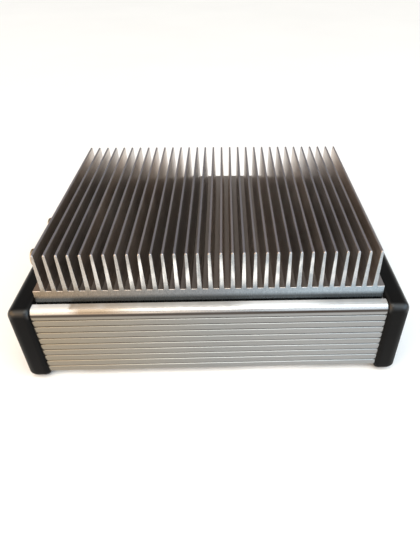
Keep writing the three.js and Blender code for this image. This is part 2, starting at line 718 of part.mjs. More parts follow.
function buildLeds() {
  const front = PANEL_FACE + 2.2;
  const lamp = turnX([
    [0, front - LED_LENGTH], [LED_RADIUS, front - LED_LENGTH], [LED_RADIUS, front - 1.8],
    [LED_RADIUS * 0.82, front - 0.7], [LED_RADIUS * 0.45, front - 0.1], [0, front],
  ], 16);
  for (const [name, y, lens] of LEDS) {
    add(rightEnd, name, lamp, lens, 0, y, LED_Z);
  }
}

function buildResetButton() {
  const { y, z, bore, cap, flange, thread, depth, proud, capProud } = BUTTON;
  const face = PANEL_FACE + GAP;
  const front = face + proud;
  const bushing = turnX([
    [bore, face - depth], [thread, face - depth], [thread, face], [flange, face],
    [flange, front - 0.6], [flange - 0.6, front], [bore, front], [bore, face - depth],
  ], 16);
  add(rightEnd, "reset_button_bushing", bushing, steel, 0, y, z);
  const tip = face + capProud;
  const button = turnX([
    [0, face - 6], [cap, face - 6], [cap, tip - 0.9], [cap * 0.75, tip - 0.2], [0, tip],
  ], 16);
  add(rightEnd, "reset_button_cap", button, redPlastic, 0, y, z);
}

// The rocker's section in (x, z) about its pivot, with a shallow V across its face.
function rockerSection() {
  return shapeOf([
    [1.2, -8.2], [4.2, -8.2], [3, 0], [4.2, 8.2], [1.2, 8.2], [-4.2, 3], [-4.2, -3],
  ]);
}

function buildPowerSwitch() {
  const { y, halfY, halfZ, rimY, rimZ, proud, depth, wellY, wellZ, wellDepth, pivotX, pin } = SWITCH;
  const face = PANEL_FACE + GAP;
  const rim = roundedRectangle(-halfY - rimY, halfY + rimY, -halfZ - rimZ, halfZ + rimZ, 1.2);
  const housing = join(
    extrudeX(rim, face, face + proud),
    box(face - depth, face + 0.5, -halfY, halfY, -halfZ, halfZ));
  const well = box(face - wellDepth, face + proud + THROUGH, -wellY, wellY, -wellZ, wellZ);
  const pinHole = new THREE.CylinderGeometry(pin + GAP, pin + GAP, 2 * (wellY + 1.1), 14);
  pinHole.translate(pivotX, 0, 0);
  add(rightEnd, "power_switch_housing", cut(housing, well, pinHole), blackPlastic, 0, y, MID_Z);

  const rockerHalf = wellY - GAP;
  const axle = new THREE.CylinderGeometry(pin, pin, 2 * (wellY + 0.8), 14);
  const body = join(extrudeY(rockerSection(), -rockerHalf, rockerHalf), axle);
  const rocker = add(rightEnd, "power_switch_rocker", body, redPlastic, pivotX, y, MID_Z);
  rocker.rotation.y = THREE.MathUtils.degToRad(ROCKER_TILT);
}

function buildPowerInlet() {
  const { y, z, halfY, halfZ, rim, proud, depth, cavityY, cavityZ, cavityDepth, chamfer } = INLET;
  const face = PANEL_FACE + GAP;
  const front = face + proud;
  const bottom = front - cavityDepth;
  const flange = roundedRectangle(-halfY - rim, halfY + rim, -halfZ - rim, halfZ + rim, rim);
  const cavity = shapeOf([
    [-cavityY, -cavityZ], [cavityY, -cavityZ], [cavityY, cavityZ - chamfer],
    [cavityY - chamfer, cavityZ], [chamfer - cavityY, cavityZ], [-cavityY, cavityZ - chamfer],
  ]);
  let inlet = solid(extrudeX(flange, face, front));
  inlet = inlet.add(solid(box(face - depth, face + 1, -halfY, halfY, -halfZ, halfZ)));
  inlet = inlet.subtract(solid(extrudeX(cavity, bottom, front + THROUGH)));
  for (const [bladeY, bladeZ] of [[-7, -2], [0, 2], [7, -2]]) {
    const blade = box(bottom - 1, front - INLET.bladeRecess,
      bladeY - 1, bladeY + 1, bladeZ - 2, bladeZ + 2);
    inlet = inlet.add(solid(blade));
  }
  add(rightEnd, "power_inlet", geometryOf(inlet), blackPlastic, 0, y, z);
}

// A rectangular panel cut-out about (y, z).
function cutout(y, z, halfY, halfZ, clearance, radius = GAP) {
  return roundedRectangle(y - halfY - clearance, y + halfY + clearance,
    z - halfZ - clearance, z + halfZ + clearance, radius);
}

function buildRightEnd() {
  const panel = panelOutline();
  const networkZ = NETWORK.z0 + NETWORK.height / 2;
  panel.holes.push(
    cutout(NETWORK.y, networkZ, NETWORK.halfY, NETWORK.height / 2, GAP),
    cutout(IO.y, IO.z, IO.halfY, IO.halfZ, 0.8, 0.8),
    circle(IO.y - IO.screwY, IO.z, IO.screwHole),
    circle(IO.y + IO.screwY, IO.z, IO.screwHole),
    circle(BUTTON.y, BUTTON.z, BUTTON.thread + GAP),
    cutout(SWITCH.y, MID_Z, SWITCH.halfY, SWITCH.halfZ, GAP),
    cutout(INLET.y, INLET.z, INLET.halfY, INLET.halfZ, GAP));
  for (const [, y] of LEDS) {
    panel.holes.push(circle(y, LED_Z, LED_RADIUS + GAP));
  }
  add(rightEnd, "end_panel_right", extrudeX(panel, BEZEL_START, PANEL_FACE), panelAluminium);
  buildNetworkSocket();
  buildIoSocket();
  buildLeds();
  buildResetButton();
  buildPowerSwitch();
  buildPowerInlet();
}

// ---------------------------------------------------------------- boards and power parts
const POWER_BOARD = { x0: -84, x1: 76 };
const CONTROL_BOARD = { x0: -5, x1: 98 };
const HEADER = { x: 42.5, y: -63, length: 35, width: 6 };
const PROCESSOR = { x: 31, y: 11, side: 22, height: 1.8 };
const CAPACITOR = { x: [-68, -46, -24], y: -42, radius: 9, height: 22 };
const CHOKE = { x: -62, y: 34, inner: 6, outer: 14, height: 14 };
const RELAY = { x: -30, y: 34, length: 20, width: 16, height: 15 };

// A plain block on z = 0, centred in x and y.
function block(length, width, height) {
  return box(-length / 2, length / 2, -width / 2, width / 2, 0, height);
}

function buildBoards() {
  const power = box(POWER_BOARD.x0, POWER_BOARD.x1, -BOARD_Y, BOARD_Y, 0, BOARD_THICKNESS);
  add(electronics, "power_board", power, boardGreen, 0, 0, POWER_Z0);
  const control = box(CONTROL_BOARD.x0, CONTROL_BOARD.x1, -BOARD_Y, BOARD_Y, 0, BOARD_THICKNESS);
  add(electronics, "control_board", control, boardGreen, 0, 0, CONTROL_Z0);
  const seat = CONTROL_Z1 + GAP;
  const header = block(HEADER.length, HEADER.width, POWER_Z0 - GAP - seat);
  add(electronics, "board_header", header, insulator, HEADER.x, HEADER.y, seat);
  const processor = block(PROCESSOR.side, PROCESSOR.side, PROCESSOR.height);
  add(electronics, "drive_processor", processor, moduleBlack, PROCESSOR.x, PROCESSOR.y, seat);
}

// A three-phase module: body, screw lugs and two rows of pins down to the power board.
function buildInverterModule() {
  const { x, bodyHalf, lugHalf, halfY, height, lug } = INVERTER;
  const lugWidth = 14;
  const pins = { count: 7, pitch: 6.5, inset: 2, length: 1, width: 0.8 };
  const pinFoot = POWER_Z1 + GAP - MODULE_TOP;
  let module = solid(box(-bodyHalf, bodyHalf, -halfY, halfY, -height, 0));
  module = module.add(solid(box(-lugHalf, lugHalf, -lugWidth / 2, lugWidth / 2, -lug, 0)));
  for (const side of [-1, 1]) {
    const screwX = (side * (bodyHalf + lugHalf)) / 2;
    module = module.subtract(solid(rodZ(M4_HOLE, -height, THROUGH, screwX, 0, 12)));
    for (let i = 0; i < pins.count; i += 1) {
      const pinX = (i - (pins.count - 1) / 2) * pins.pitch;
      const pin = block(pins.length, pins.width, 1 - height - pinFoot);
      pin.translate(pinX, side * (halfY - pins.inset), pinFoot);
      module = module.add(solid(pin));
    }
  }
  add(electronics, "inverter_module", geometryOf(module), moduleBlack, x, 0, MODULE_TOP);
  const pad = block(2 * bodyHalf, 2 * halfY, PAD_THICKNESS);
  add(electronics, "inverter_thermal_pad", pad, padGrey, x, 0, PAD_Z0);
}

// A bridge rectifier with a central screw and four pins.
function buildRectifierModule() {
  const { x, half, height } = RECTIFIER;
  const pinInset = 3;
  const pinSide = 1.2;
  const pinFoot = POWER_Z1 + GAP - MODULE_TOP;
  let module = solid(box(-half, half, -half, half, -height, 0));
  module = module.subtract(solid(rodZ(M4_HOLE, -height - THROUGH, THROUGH, 0, 0, 12)));
  for (const pinX of [pinInset - half, half - pinInset]) {
    for (const pinY of [pinInset - half, half - pinInset]) {
      const pin = block(pinSide, pinSide, 1 - height - pinFoot).translate(pinX, pinY, pinFoot);
      module = module.add(solid(pin));
    }
  }
  add(electronics, "rectifier_module", geometryOf(module), moduleBlack, x, 0, MODULE_TOP);
  const pad = roundedRectangle(-half, half, -half, half, 0.5);
  pad.holes.push(circle(0, 0, M4_HOLE));
  add(electronics, "rectifier_thermal_pad", extrudeZ(pad, 0, PAD_THICKNESS), padGrey, x, 0, PAD_Z0);
}

function buildModuleScrews() {
  const names = ["inverter_screw_left", "inverter_screw_right", "rectifier_screw"];
  const thicknesses = [INVERTER.lug, INVERTER.lug, RECTIFIER.height];
  moduleScrewPlaces().forEach(([x, y], i) => {
    const seat = MODULE_TOP - thicknesses[i] - GAP;
    add(electronics, names[i], upwardScrew(SINK_Z0 + M4_REACH - seat), steel, x, y, seat);
  });
}

// Tall parts that hang from the underside of the power board.
function buildHangingParts() {
  const top = POWER_Z0 - GAP;
  const { radius, height } = CAPACITOR;
  const can = turnZ([
    [0, -height], [radius - 1, -height], [radius, 1 - height], [radius, -2.5], [radius - 0.5, -2],
    [radius, -1.5], [radius, 0], [0, 0],
  ], 16);
  CAPACITOR.x.forEach((x, i) => {
    add(electronics, `dc_link_capacitor_${i + 1}`, can, capacitorSleeve, x, CAPACITOR.y, top);
  });
  const { inner, outer } = CHOKE;
  const bottom = -CHOKE.height;
  const ring = [
    [inner, bottom + 1], [inner + 1, bottom], [outer - 1, bottom], [outer, bottom + 1],
    [outer, -1], [outer - 1, 0], [inner + 1, 0], [inner, -1], [inner, bottom + 1],
  ];
  add(electronics, "input_choke", turnZ(ring, 20), ferrite, CHOKE.x, CHOKE.y, top);
  const relay = block(RELAY.length, RELAY.width, RELAY.height);
  add(electronics, "braking_relay", relay, blackPlastic, RELAY.x, RELAY.y, top - RELAY.height);
}

// ---------------------------------------------------------------- assembly
buildBody();
buildHeatSink();
buildPlate();
buildSinkScrews();
buildFeet();
buildEnd(leftEnd, "left");
buildEnd(rightEnd, "right");
buildLeftEnd();
buildRightEnd();
buildBoards();
buildInverterModule();
buildRectifierModule();
buildModuleScrews();
buildHangingParts();

drive.position.x = CONNECTOR_REACH / 2;

export default drive;
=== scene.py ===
import json
import math
import random

import bmesh
import bpy
from mathutils import Euler, Matrix, Vector


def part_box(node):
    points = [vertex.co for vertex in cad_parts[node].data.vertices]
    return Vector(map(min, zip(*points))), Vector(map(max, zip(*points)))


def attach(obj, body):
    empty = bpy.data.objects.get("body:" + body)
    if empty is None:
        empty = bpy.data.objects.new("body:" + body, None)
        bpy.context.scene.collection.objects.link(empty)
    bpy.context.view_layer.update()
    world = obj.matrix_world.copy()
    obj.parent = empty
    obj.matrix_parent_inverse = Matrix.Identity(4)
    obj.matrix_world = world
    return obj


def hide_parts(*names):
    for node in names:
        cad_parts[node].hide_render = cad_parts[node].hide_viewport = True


# Servo drive in a ribbed extruded case with a finned heat sink.
# Everything is in metres, in the CAD frame: +X along the case, +Y to the rear, +Z up, floor at z = 0.

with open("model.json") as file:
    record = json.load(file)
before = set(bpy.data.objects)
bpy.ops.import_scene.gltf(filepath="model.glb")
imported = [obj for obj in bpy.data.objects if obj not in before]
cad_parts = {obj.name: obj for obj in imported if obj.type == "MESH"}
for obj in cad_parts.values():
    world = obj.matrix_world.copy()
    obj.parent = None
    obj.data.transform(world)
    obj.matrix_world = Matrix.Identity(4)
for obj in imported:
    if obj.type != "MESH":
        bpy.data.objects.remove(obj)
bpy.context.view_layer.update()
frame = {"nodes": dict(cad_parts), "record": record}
random.seed(7)

MM = 0.001

# ---- places, from the frame
BODY_LO, BODY_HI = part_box("case_extrusion")
SINK_LO, SINK_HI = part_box("heat_sink")
PANEL_LO, PANEL_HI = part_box("end_panel_right")
BEZEL_LO, BEZEL_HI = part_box("bezel_right")
CASE_X = (BODY_LO.x + BODY_HI.x) / 2

# ---- sizes shared with the CAD source
WALL = 2.2 * MM
FLOOR_THICKNESS = 2 * MM
TOP_RADIUS = 4 * MM
BOTTOM_RADIUS = 3 * MM
LIP_WIDTH = 7 * MM
LIP_THICKNESS = 2 * MM
PLATE_SLOT = 2.1 * MM
GROOVES = 9
GROOVE_PITCH = 4.55 * MM
GROOVE_WIDTH = 1.1 * MM
GROOVE_DEPTH = 0.75 * MM
TOP_GROOVE_DROP = 6.6 * MM
CARD_RIB = 1.2 * MM
CARD_SLOT = 2 * MM
CARD_DEPTH = 2.7 * MM
CARD_SLOTS_Z = (31 * MM, 13.2 * MM)
BOSS_Y = 76 * MM
BOSS_ABOVE = 5.25 * MM
BOSS_BELOW = 10 * MM
BOSS_RADIUS = 3.5 * MM
BOSS_PLACES = [(y, z) for y in (-BOSS_Y, BOSS_Y) for z in (BODY_LO.z + BOSS_ABOVE, BODY_HI.z - BOSS_BELOW)]
SCREW_HOLE = 1.9 * MM
FACE_CROWN = 2.2 * MM
TOP_CROWN = 1.5 * MM
BEZEL_ROUND_ALONG = 5.3 * MM
BEZEL_ROUND_INWARD = 4 * MM
BEZEL_CORNER = 1 * MM
WINDOW_Y = 71 * MM
WINDOW_BAR = 5 * MM
FINS = 31
FIN_PITCH = 6.16 * MM
FIN_HEIGHT = 23.6 * MM
FIN_ROOT = 2.4 * MM
FIN_TIP = 1.4 * MM
GAP = 0.3 * MM


# ---- materials
class Finish:
    """A node material, with short calls for the nodes that the finishes here are made of."""

    def __init__(self, name, color, roughness, metallic=0.0):
        self.material = bpy.data.materials.new(name)
        self.material.use_nodes = True
        self.tree = self.material.node_tree
        self.shader = self.tree.nodes["Principled BSDF"]
        self.drive({"Base Color": color, "Roughness": roughness, "Metallic": metallic})
        self.last_normal = None

    def feed(self, socket, value):
        """Links an output to the socket, or sets the socket to a number or a tuple."""
        if isinstance(value, bpy.types.NodeSocket):
            self.tree.links.new(value, socket)
        elif isinstance(value, (int, float)):
            socket.default_value = value
        else:
            socket.default_value = (*value, 1)[:len(socket.default_value)]

    def drive(self, inputs):
        """Feeds the shader's named inputs."""
        for key, value in inputs.items():
            self.feed(self.shader.inputs[key], value)

    def node(self, kind, inputs=None, **settings):
        """A new node with its settings, and its inputs fed by name or number."""
        made = self.tree.nodes.new(kind)
        for key, value in settings.items():
            setattr(made, key, value)
        for key, value in (inputs or {}).items():
            self.feed(made.inputs[key], value)
        return made

    def place(self, stretch=(1, 1, 1)):
        """Object coordinates, in metres, stretched by the given factors."""
        coordinates = self.node("ShaderNodeTexCoord").outputs["Object"]
        return self.node("ShaderNodeMapping", {"Vector": coordinates, "Scale": stretch}).outputs["Vector"]

    def noise(self, scale, detail=3.0, stretch=(1, 1, 1)):
        inputs = {"Vector": self.place(stretch), "Scale": scale, "Detail": detail, "Roughness": 0.55}
        return self.node("ShaderNodeTexNoise", inputs).outputs["Fac"]

    def cells(self, scale):
        """The distance to the nearest of many scattered points."""
        inputs = {"Vector": self.place(), "Scale": scale}
        return self.node("ShaderNodeTexVoronoi", inputs).outputs["Distance"]

    def ramp(self, value, *stops):
        """A colour or grey ramp; each stop is (position, grey or colour)."""
        made = self.node("ShaderNodeValToRGB", {"Fac": value})
        elements = made.color_ramp.elements
        while len(elements) < len(stops):
            elements.new(0.5)
        for element, (position, shade) in zip(elements, stops):
            element.position = position
            shade = (shade, shade, shade) if isinstance(shade, (int, float)) else shade
            element.color = (*shade, 1)
        return made.outputs["Color"]

    def mix(self, share, first, second, blend="MIX"):
        """Mixes two colours; share, first and second may be outputs or plain values."""
        inputs = {0: share, 6: first, 7: second}
        return self.node("ShaderNodeMix", inputs, data_type="RGBA", blend_type=blend).outputs[2]

    def layered(self, color, *layers):
        """A colour under layers, each (share, colour) or (share, colour, how it blends)."""
        for share, layer, *blend in layers:
            color = self.mix(share, color, layer, *blend)
        return color

    def spread(self, value, low, high, from_low=0.3, from_high=0.7):
        """Low to high as the value goes from from_low to from_high, and no further either way."""
        inputs = {"Value": value, "From Min": from_low, "From Max": from_high, "To Min": low, "To Max": high}
        return self.node("ShaderNodeMapRange", inputs).outputs["Result"]

    def times(self, first, *others):
        """The product of two or more shares."""
        for other in others:
            first = self.node("ShaderNodeMath", {0: first, 1: other}, operation="MULTIPLY").outputs[0]
        return first

    def split(self, vector):
        """A vector's outputs named X, Y and Z."""
        return self.node("ShaderNodeSeparateXYZ", {0: vector}).outputs

    def normal(self):
        return self.node("ShaderNodeNewGeometry").outputs["True Normal"]

    def aligned(self, axis, low, high, start, end):
        """Low to high as the surface turns to face along the named axis, either way."""
        size = self.node("ShaderNodeMath", {0: self.split(self.normal())[axis]}, operation="ABSOLUTE")
        return self.spread(size.outputs[0], low, high, start, end)

    def facing(self, axis, start=0.85, end=0.97):
        """1 where the surface faces along the named axis, either way, and 0 elsewhere."""
        return self.aligned(axis, 0.0, 1.0, start, end)

    def curved(self):
        """1 where the surface turns from one flat face to the next, and 0 on the faces themselves."""
        return self.times(*(self.aligned(axis, 1.0, 0.0, 0.80, 0.99) for axis in "XYZ"))

    def undercut(self):
        """1 where the surface faces downwards, and 0 where it is upright or faces up."""
        return self.spread(self.split(self.normal())["Z"], 1.0, 0.0, -0.6, -0.15)

    def along(self, axis, start, end):
        """0 up to the start and 1 from the end, along one of the object's axes."""
        return self.spread(self.split(self.place())[axis], 0.0, 1.0, start, end)

    def along_case(self, start, end):
        """The same along X, with the start and the end in millimetres from the case's middle."""
        return self.along("X", CASE_X + start * MM, CASE_X + end * MM)

    def band(self, axis, middle, half, fade):
        """1 within half of a place along one of the object's axes, falling to 0 over the fade."""
        rising = self.along(axis, middle - half - fade, middle - half)
        return self.times(rising, self.along(axis, middle + half + fade, middle + half))

    def edges(self, radius):
        """1 on the edges of the mesh, where handling wears it, and 0 on its faces."""
        bevel = self.node("ShaderNodeBevel", {"Radius": radius}, samples=4)
        inputs = {0: bevel.outputs[0], 1: self.normal()}
        difference = self.node("ShaderNodeVectorMath", inputs, operation="DISTANCE")
        return self.spread(difference.outputs["Value"], 0.0, 1.0, 0.02, 0.25)

    def bump(self, pattern, strength, depth):
        """Adds a pattern as a relief, with its depth in metres, to the reliefs before it."""
        inputs = {"Height": pattern, "Strength": strength, "Distance": depth}
        if self.last_normal is not None:
            inputs["Normal"] = self.last_normal
        self.last_normal = self.node("ShaderNodeBump", inputs).outputs["Normal"]
        self.drive({"Normal": self.last_normal})

    def finished(self, color, roughness, *reliefs):
        """The material with its colour, its roughness and its reliefs, each as bump() takes it."""
        self.drive({"Base Color": color, "Roughness": roughness})
        for relief in reliefs:
            self.bump(*relief)
        return self.material


def ribbed_face_tint(made, lines, broad, across):
    """The extrusion's upright faces: a painted reflection tint, warm to cool along the case, with scuffs, a
    painted dark reflection line low on the top round, painted shade on the grooves' downward faces and a
    painted highlight on the round's upper part.
    """
    # painted dark reflection: a dark line low on the top round, where it turns into the ribbed face
    dark_reflection_z = BODY_HI.z - 3.27 * MM
    # painted shade on the faces that look down, in the grooves above the bottom round
    undercut_shade_above = BODY_LO.z + 4 * MM
    round_top = BODY_HI.z - 1.8 * MM
    tan = (0.31, 0.26, 0.205)
    painted_dark_reflection = made.times(made.band("Z", dark_reflection_z, 0.52 * MM, 0.75 * MM), made.spread(broad, 0.75, 1.0))
    painted_undercut_shade = made.times(made.undercut(), made.along("Z", undercut_shade_above, undercut_shade_above + 2 * MM))
    # painted highlight on the round's upper part: light grey, with a tan patch of painted warm reflection
    # near the left end
    painted_round_highlight = made.ramp(across, (0.09, 0.56), (0.13, tan), (0.21, tan), (0.34, 0.56))
    return made.layered(
        # painted reflection tint: warm at the left end, cool at the right
        made.ramp(across, (0.0, (0.294, 0.254, 0.192)), (0.56, (0.276, 0.284, 0.284)),
                  (0.95, (0.320, 0.328, 0.333))),
        (1.0, made.ramp(lines, (0.3, 0.925), (0.7, 1.0)), "MULTIPLY"),
        (made.spread(broad, 0.0, 0.35), (0.265, 0.26, 0.25)),
        (made.spread(made.cells(420), 0.25, 0.0, 0.0, 0.06), (0.25, 0.24, 0.23)),
        (painted_dark_reflection, (0.055, 0.044, 0.038)),
        (painted_undercut_shade, made.mix(across, (0.16, 0.115, 0.075), (0.12, 0.115, 0.12))),
        (made.along("Z", round_top - 1 * MM, round_top), painted_round_highlight))


def lip_tint(made, across):
    """The flat lip: blotchy, with a painted reflection tint, warm to cool along the case, and painted
    highlights in two places.
    """
    painted_highlight_near_end = made.times(made.along_case(-66, -92), made.spread(made.noise(110, 2), 0.6, 1.0))
    return made.layered(
        # painted reflection tint: warm at the left end, neutral at the right
        made.ramp(across, (0.15, (0.45, 0.375, 0.30)), (0.35, (0.54, 0.515, 0.485)),
                  (0.95, (0.49, 0.50, 0.505))),
        (made.spread(made.noise(90, 2), 0.0, 0.4, 0.45, 0.65), (0.70, 0.69, 0.68)),
        # painted highlights: a bright band right of the middle, and bright patches near the left end
        (made.band("X", CASE_X + 39 * MM, 14 * MM, 14 * MM), (0.92, 0.92, 0.92)),
        (made.spread(painted_highlight_near_end, 0.0, 1.0, 0.38, 0.52), (0.88, 0.87, 0.85)))


def anodised_finish():
    """Clear satin anodising over aluminium drawn along X: fine die lines and a few scuffs."""
    made = Finish("anodised_extrusion", (0.36, 0.355, 0.345), 0.24, 1.0)
    lines = made.noise(1.0, 4, (4, 5200, 5200))
    broad = made.noise(1.0, 2, (6, 260, 260))
    across = made.along_case(-95, 75)
    flat = made.facing("Z")
    made.drive({"Metallic": made.spread(flat, 1.0, 0.42, 0.0, 1.0)})
    return made.finished(
        made.mix(flat, ribbed_face_tint(made, lines, broad, across), lip_tint(made, across)),
        made.mix(flat, made.spread(made.noise(28, 3), 0.20, 0.28), (0.26, 0.26, 0.26)),
        (lines, 0.10, 0.04 * MM), (made.noise(3800, 2), 0.06, 0.03 * MM))


def fin_flank_tint(made, streaks):
    """The die skin between the fins: streaked, a little different in each channel, lighter on the right as
    painted light, with a painted reflection tone on the fin tops, and dark at the root as painted shade, warm
    at the left end and grey at the right.
    """
    tip_start = SINK_HI.z - 2.2 * MM
    valley_end = SINK_HI.z - 12 * MM
    # painted shade tone for the base between the fins, with painted warm reflection at the left end and grey
    # at the right
    painted_valley_tone = made.ramp(made.along("X", SINK_LO.x, SINK_HI.x), (0.0, (0.38, 0.265, 0.19)),
                       (0.07, (0.31, 0.268, 0.232)), (0.93, (0.31, 0.28, 0.255)), (1.0, (0.38, 0.37, 0.375)))
    channel = made.ramp(made.noise(1.0, 1, (85, 1.2, 1.2)), (0.38, (0.925, 0.945, 0.975)),
                        (0.62, (1.105, 1.07, 1.035)))
    # painted reflection tone: the fin tops darker and greyer than the flanks
    tips = made.times(made.facing("Z", 0.3, 0.8), made.along("Z", tip_start, tip_start + 1 * MM))
    # painted shade on the base between the fins
    painted_valley_shade = made.times(made.facing("Z"), made.along("Z", valley_end + 4 * MM, valley_end))
    return made.layered(
        made.ramp(streaks, (0.3, (0.53, 0.49, 0.46)), (0.7, (0.69, 0.645, 0.61))),
        (made.spread(made.noise(1.0, 3, (160, 3, 60)), 0.0, 0.45), (0.47, 0.415, 0.375)),
        # painted light: the fins a little lighter towards the right
        (made.along_case(-10, 50), (1.08, 1.08, 1.09), "MULTIPLY"),
        (tips, (0.34, 0.325, 0.345)),
        (1.0, channel, "MULTIPLY"),
        (painted_valley_shade, painted_valley_tone))


def saw_cut_tint(made, saw):
    """The saw-cut ends: a painted reflection tint, tan to silver along the case; on the base, darker with a
    painted reflection tone, warm on the left and bluish on the right, and a dark band at its foot; painted
    highlights on the middle fins.
    """
    base_top = SINK_HI.z - FIN_HEIGHT
    foot = BODY_HI.z
    grain = made.noise(1100, 3)
    # painted reflection tint: tan at the left end, silver at the right
    tan = made.ramp(saw, (0.28, (0.345, 0.315, 0.272)), (0.72, (0.50, 0.465, 0.41)))
    silver = made.ramp(saw, (0.28, (0.32, 0.355, 0.385)), (0.72, (0.46, 0.51, 0.545)))
    # painted reflection tone for the base's front: darker than the fins, warm on the left and bluish on the
    # right
    dull = made.mix(made.along_case(-95, -20), (0.62, 0.52, 0.41), (0.54, 0.56, 0.59))
    patches = made.spread(made.noise(1.0, 2, (150, 1, 55)), 0.0, 1.0, 0.42, 0.60)
    # painted highlights: bright patches on the middle fins
    painted_highlight_patches = made.times(patches, made.along_case(-75, -35), made.along_case(90, 50),
                           made.along("Z", base_top + 1 * MM, base_top + 8 * MM),
                           made.along("Z", SINK_HI.z - 2 * MM, SINK_HI.z - 6 * MM))
    return made.layered(
        made.mix(made.along_case(-80, 20), tan, silver),
        (made.spread(grain, 0.0, 0.20), (0.60, 0.60, 0.60)),
        (made.spread(grain, 0.32, 0.0), (0.20, 0.205, 0.215)),
        (made.along("Z", base_top + 3 * MM, base_top - 0.5 * MM),
         made.mix(made.along_case(0, 60), dull, (0.84, 0.93, 1.0)), "MULTIPLY"),
        (made.along("Z", foot + 5.2 * MM, foot + 2.6 * MM), (0.075, 0.084, 0.09)),
        (painted_highlight_patches, (0.93, 0.93, 0.92)))


def bare_aluminium_finish():
    """Bare extruded aluminium: dull die skin with streaks between the fins, and saw-cut faces at the two
    ends, with painted highlights as bright spots on the fins in the middle."""
    made = Finish("bare_aluminium", (0.45, 0.43, 0.42), 0.3, 1.0)
    streaks = made.noise(1.0, 5, (1500, 5, 700))
    saw = made.noise(1.0, 4, (3400, 40, 200))
    end_face = made.facing("Y")
    return made.finished(
        made.mix(end_face, fin_flank_tint(made, streaks), saw_cut_tint(made, saw)),
        made.mix(end_face, made.spread(made.noise(35, 3), 0.28, 0.40), made.spread(saw, 0.22, 0.34)),
        (streaks, 0.12, 0.05 * MM), (saw, 0.10, 0.04 * MM))


def sheet_aluminium_finish():
    """Brushed aluminium sheet with its grain along Y."""
    made = Finish("panel_aluminium", (0.58, 0.58, 0.575), 0.32, 1.0)
    grain = made.noise(1.0, 4, (3000, 12, 3000))
    return made.finished(made.ramp(grain, (0.3, (0.50, 0.50, 0.495)), (0.7, (0.66, 0.66, 0.655))),
                         made.spread(grain, 0.26, 0.42), (grain, 0.18, 0.05 * MM))


def black_bezel_finish():
    """Satin black moulding with a fine spark-eroded grain, and upper edges rubbed smoother."""
    made = Finish("black_bezel", (0.004, 0.004, 0.0044), 0.34)
    cloud = made.noise(22, 4)
    tone = made.ramp(cloud, (0.3, (0.0028, 0.0028, 0.003)), (0.7, (0.005, 0.0049, 0.0049)))
    dust = made.spread(made.cells(310), 0.5, 0.0, 0.0, 0.035)
    worn = made.times(made.curved(), made.along("Z", BEZEL_HI.z - 6 * MM, BEZEL_HI.z - 4 * MM))
    made.drive({"Specular IOR Level": made.spread(worn, 0.070, 0.50, 0.0, 1.0)})
    return made.finished(made.mix(dust, tone, (0.05, 0.047, 0.044)),
                         made.mix(worn, made.spread(cloud, 0.33, 0.42), (0.30, 0.30, 0.30)),
                         (made.noise(2600, 3), 0.22, 0.06 * MM))


def scaled(color, factor, lift=0.0):
    return tuple(min(part * factor + lift, 1) for part in color)


def moulded_finish(name, color, roughness, grain_scale=2200):
    """Moulded plastic with a fine grain and a cloudy tone."""
    made = Finish(name, color, roughness)
    cloud = made.noise(45, 4)
    return made.finished(made.ramp(cloud, (0.3, scaled(color, 0.82)), (0.7, scaled(color, 1.22, 0.002))),
                         made.spread(cloud, roughness - 0.05, roughness + 0.07),
                         (made.noise(grain_scale, 3), 0.14, 0.04 * MM))


def passivated_finish():
    """Golden-brown chromate plating, uneven as that coating is, and rubbed bright on its edges."""
    made = Finish("connector_shell", (0.27, 0.16, 0.07), 0.3, 1.0)
    patches = made.noise(160, 5)
    tint = made.ramp(patches, (0.25, (0.10, 0.052, 0.022)), (0.5, (0.24, 0.145, 0.062)),
                     (0.8, (0.46, 0.31, 0.15)))
    worn = made.spread(made.edges(0.5 * MM), 0.0, 0.6, 0.0, 1.0)
    made.drive({"Specular Tint": (0.22, 0.13, 0.06)})
    return made.finished(made.mix(worn, tint, (0.74, 0.66, 0.50)), made.spread(patches, 0.16, 0.34),
                         (made.noise(1900, 3), 0.15, 0.04 * MM))


def turned_metal_finish(name, color, low, high):
    """A turned or plated metal with fine tool marks and light tarnish."""
    made = Finish(name, color, (low + high) / 2, 1.0)
    return made.finished(
        made.ramp(made.noise(240, 4), (0.3, scaled(color, 0.78)), (0.7, scaled(color, 1.12))),
        made.spread(made.noise(900, 3), low, high), (made.noise(4200, 2), 0.12, 0.02 * MM))


def rubber_finish():
    """Black rubber with dust in its grain."""
    made = Finish("foot_rubber", (0.022, 0.022, 0.022), 0.78)
    dust = made.noise(260, 5)
    return made.finished(made.ramp(dust, (0.4, (0.016, 0.016, 0.016)), (0.8, (0.06, 0.058, 0.055))),
                         made.spread(dust, 0.7, 0.9), (made.noise(1500, 4), 0.3, 0.08 * MM))


def lens_finish(name, color, inner):
    """A diffused coloured lens."""
    made = Finish(name, color, 0.16)
    made.drive({"Coat Weight": 0.5, "Coat Roughness": 0.05})
    return made.finished(made.ramp(made.noise(320, 3), (0.3, color), (0.75, inner)),
                         made.spread(made.noise(500, 2), 0.10, 0.22))


def circuit_finish():
    """Green solder mask over copper tracks, with tinned pads."""
    made = Finish("circuit_board", (0.02, 0.12, 0.05), 0.35)
    tracks = made.node("ShaderNodeTexBrick", {
        "Vector": made.place(), "Scale": 95, "Mortar Size": 0.025, "Color1": (0.018, 0.10, 0.042),
        "Color2": (0.024, 0.13, 0.055), "Mortar": (0.05, 0.24, 0.10)})
    is_pad = made.spread(made.cells(190), 1.0, 0.0, 0.10, 0.14)
    made.drive({"Metallic": is_pad})
    return made.finished(made.mix(is_pad, tracks.outputs["Color"], (0.62, 0.60, 0.56)),
                         made.spread(made.noise(60, 3), 0.28, 0.42), (tracks.outputs["Fac"], 0.2, 0.04 * MM))


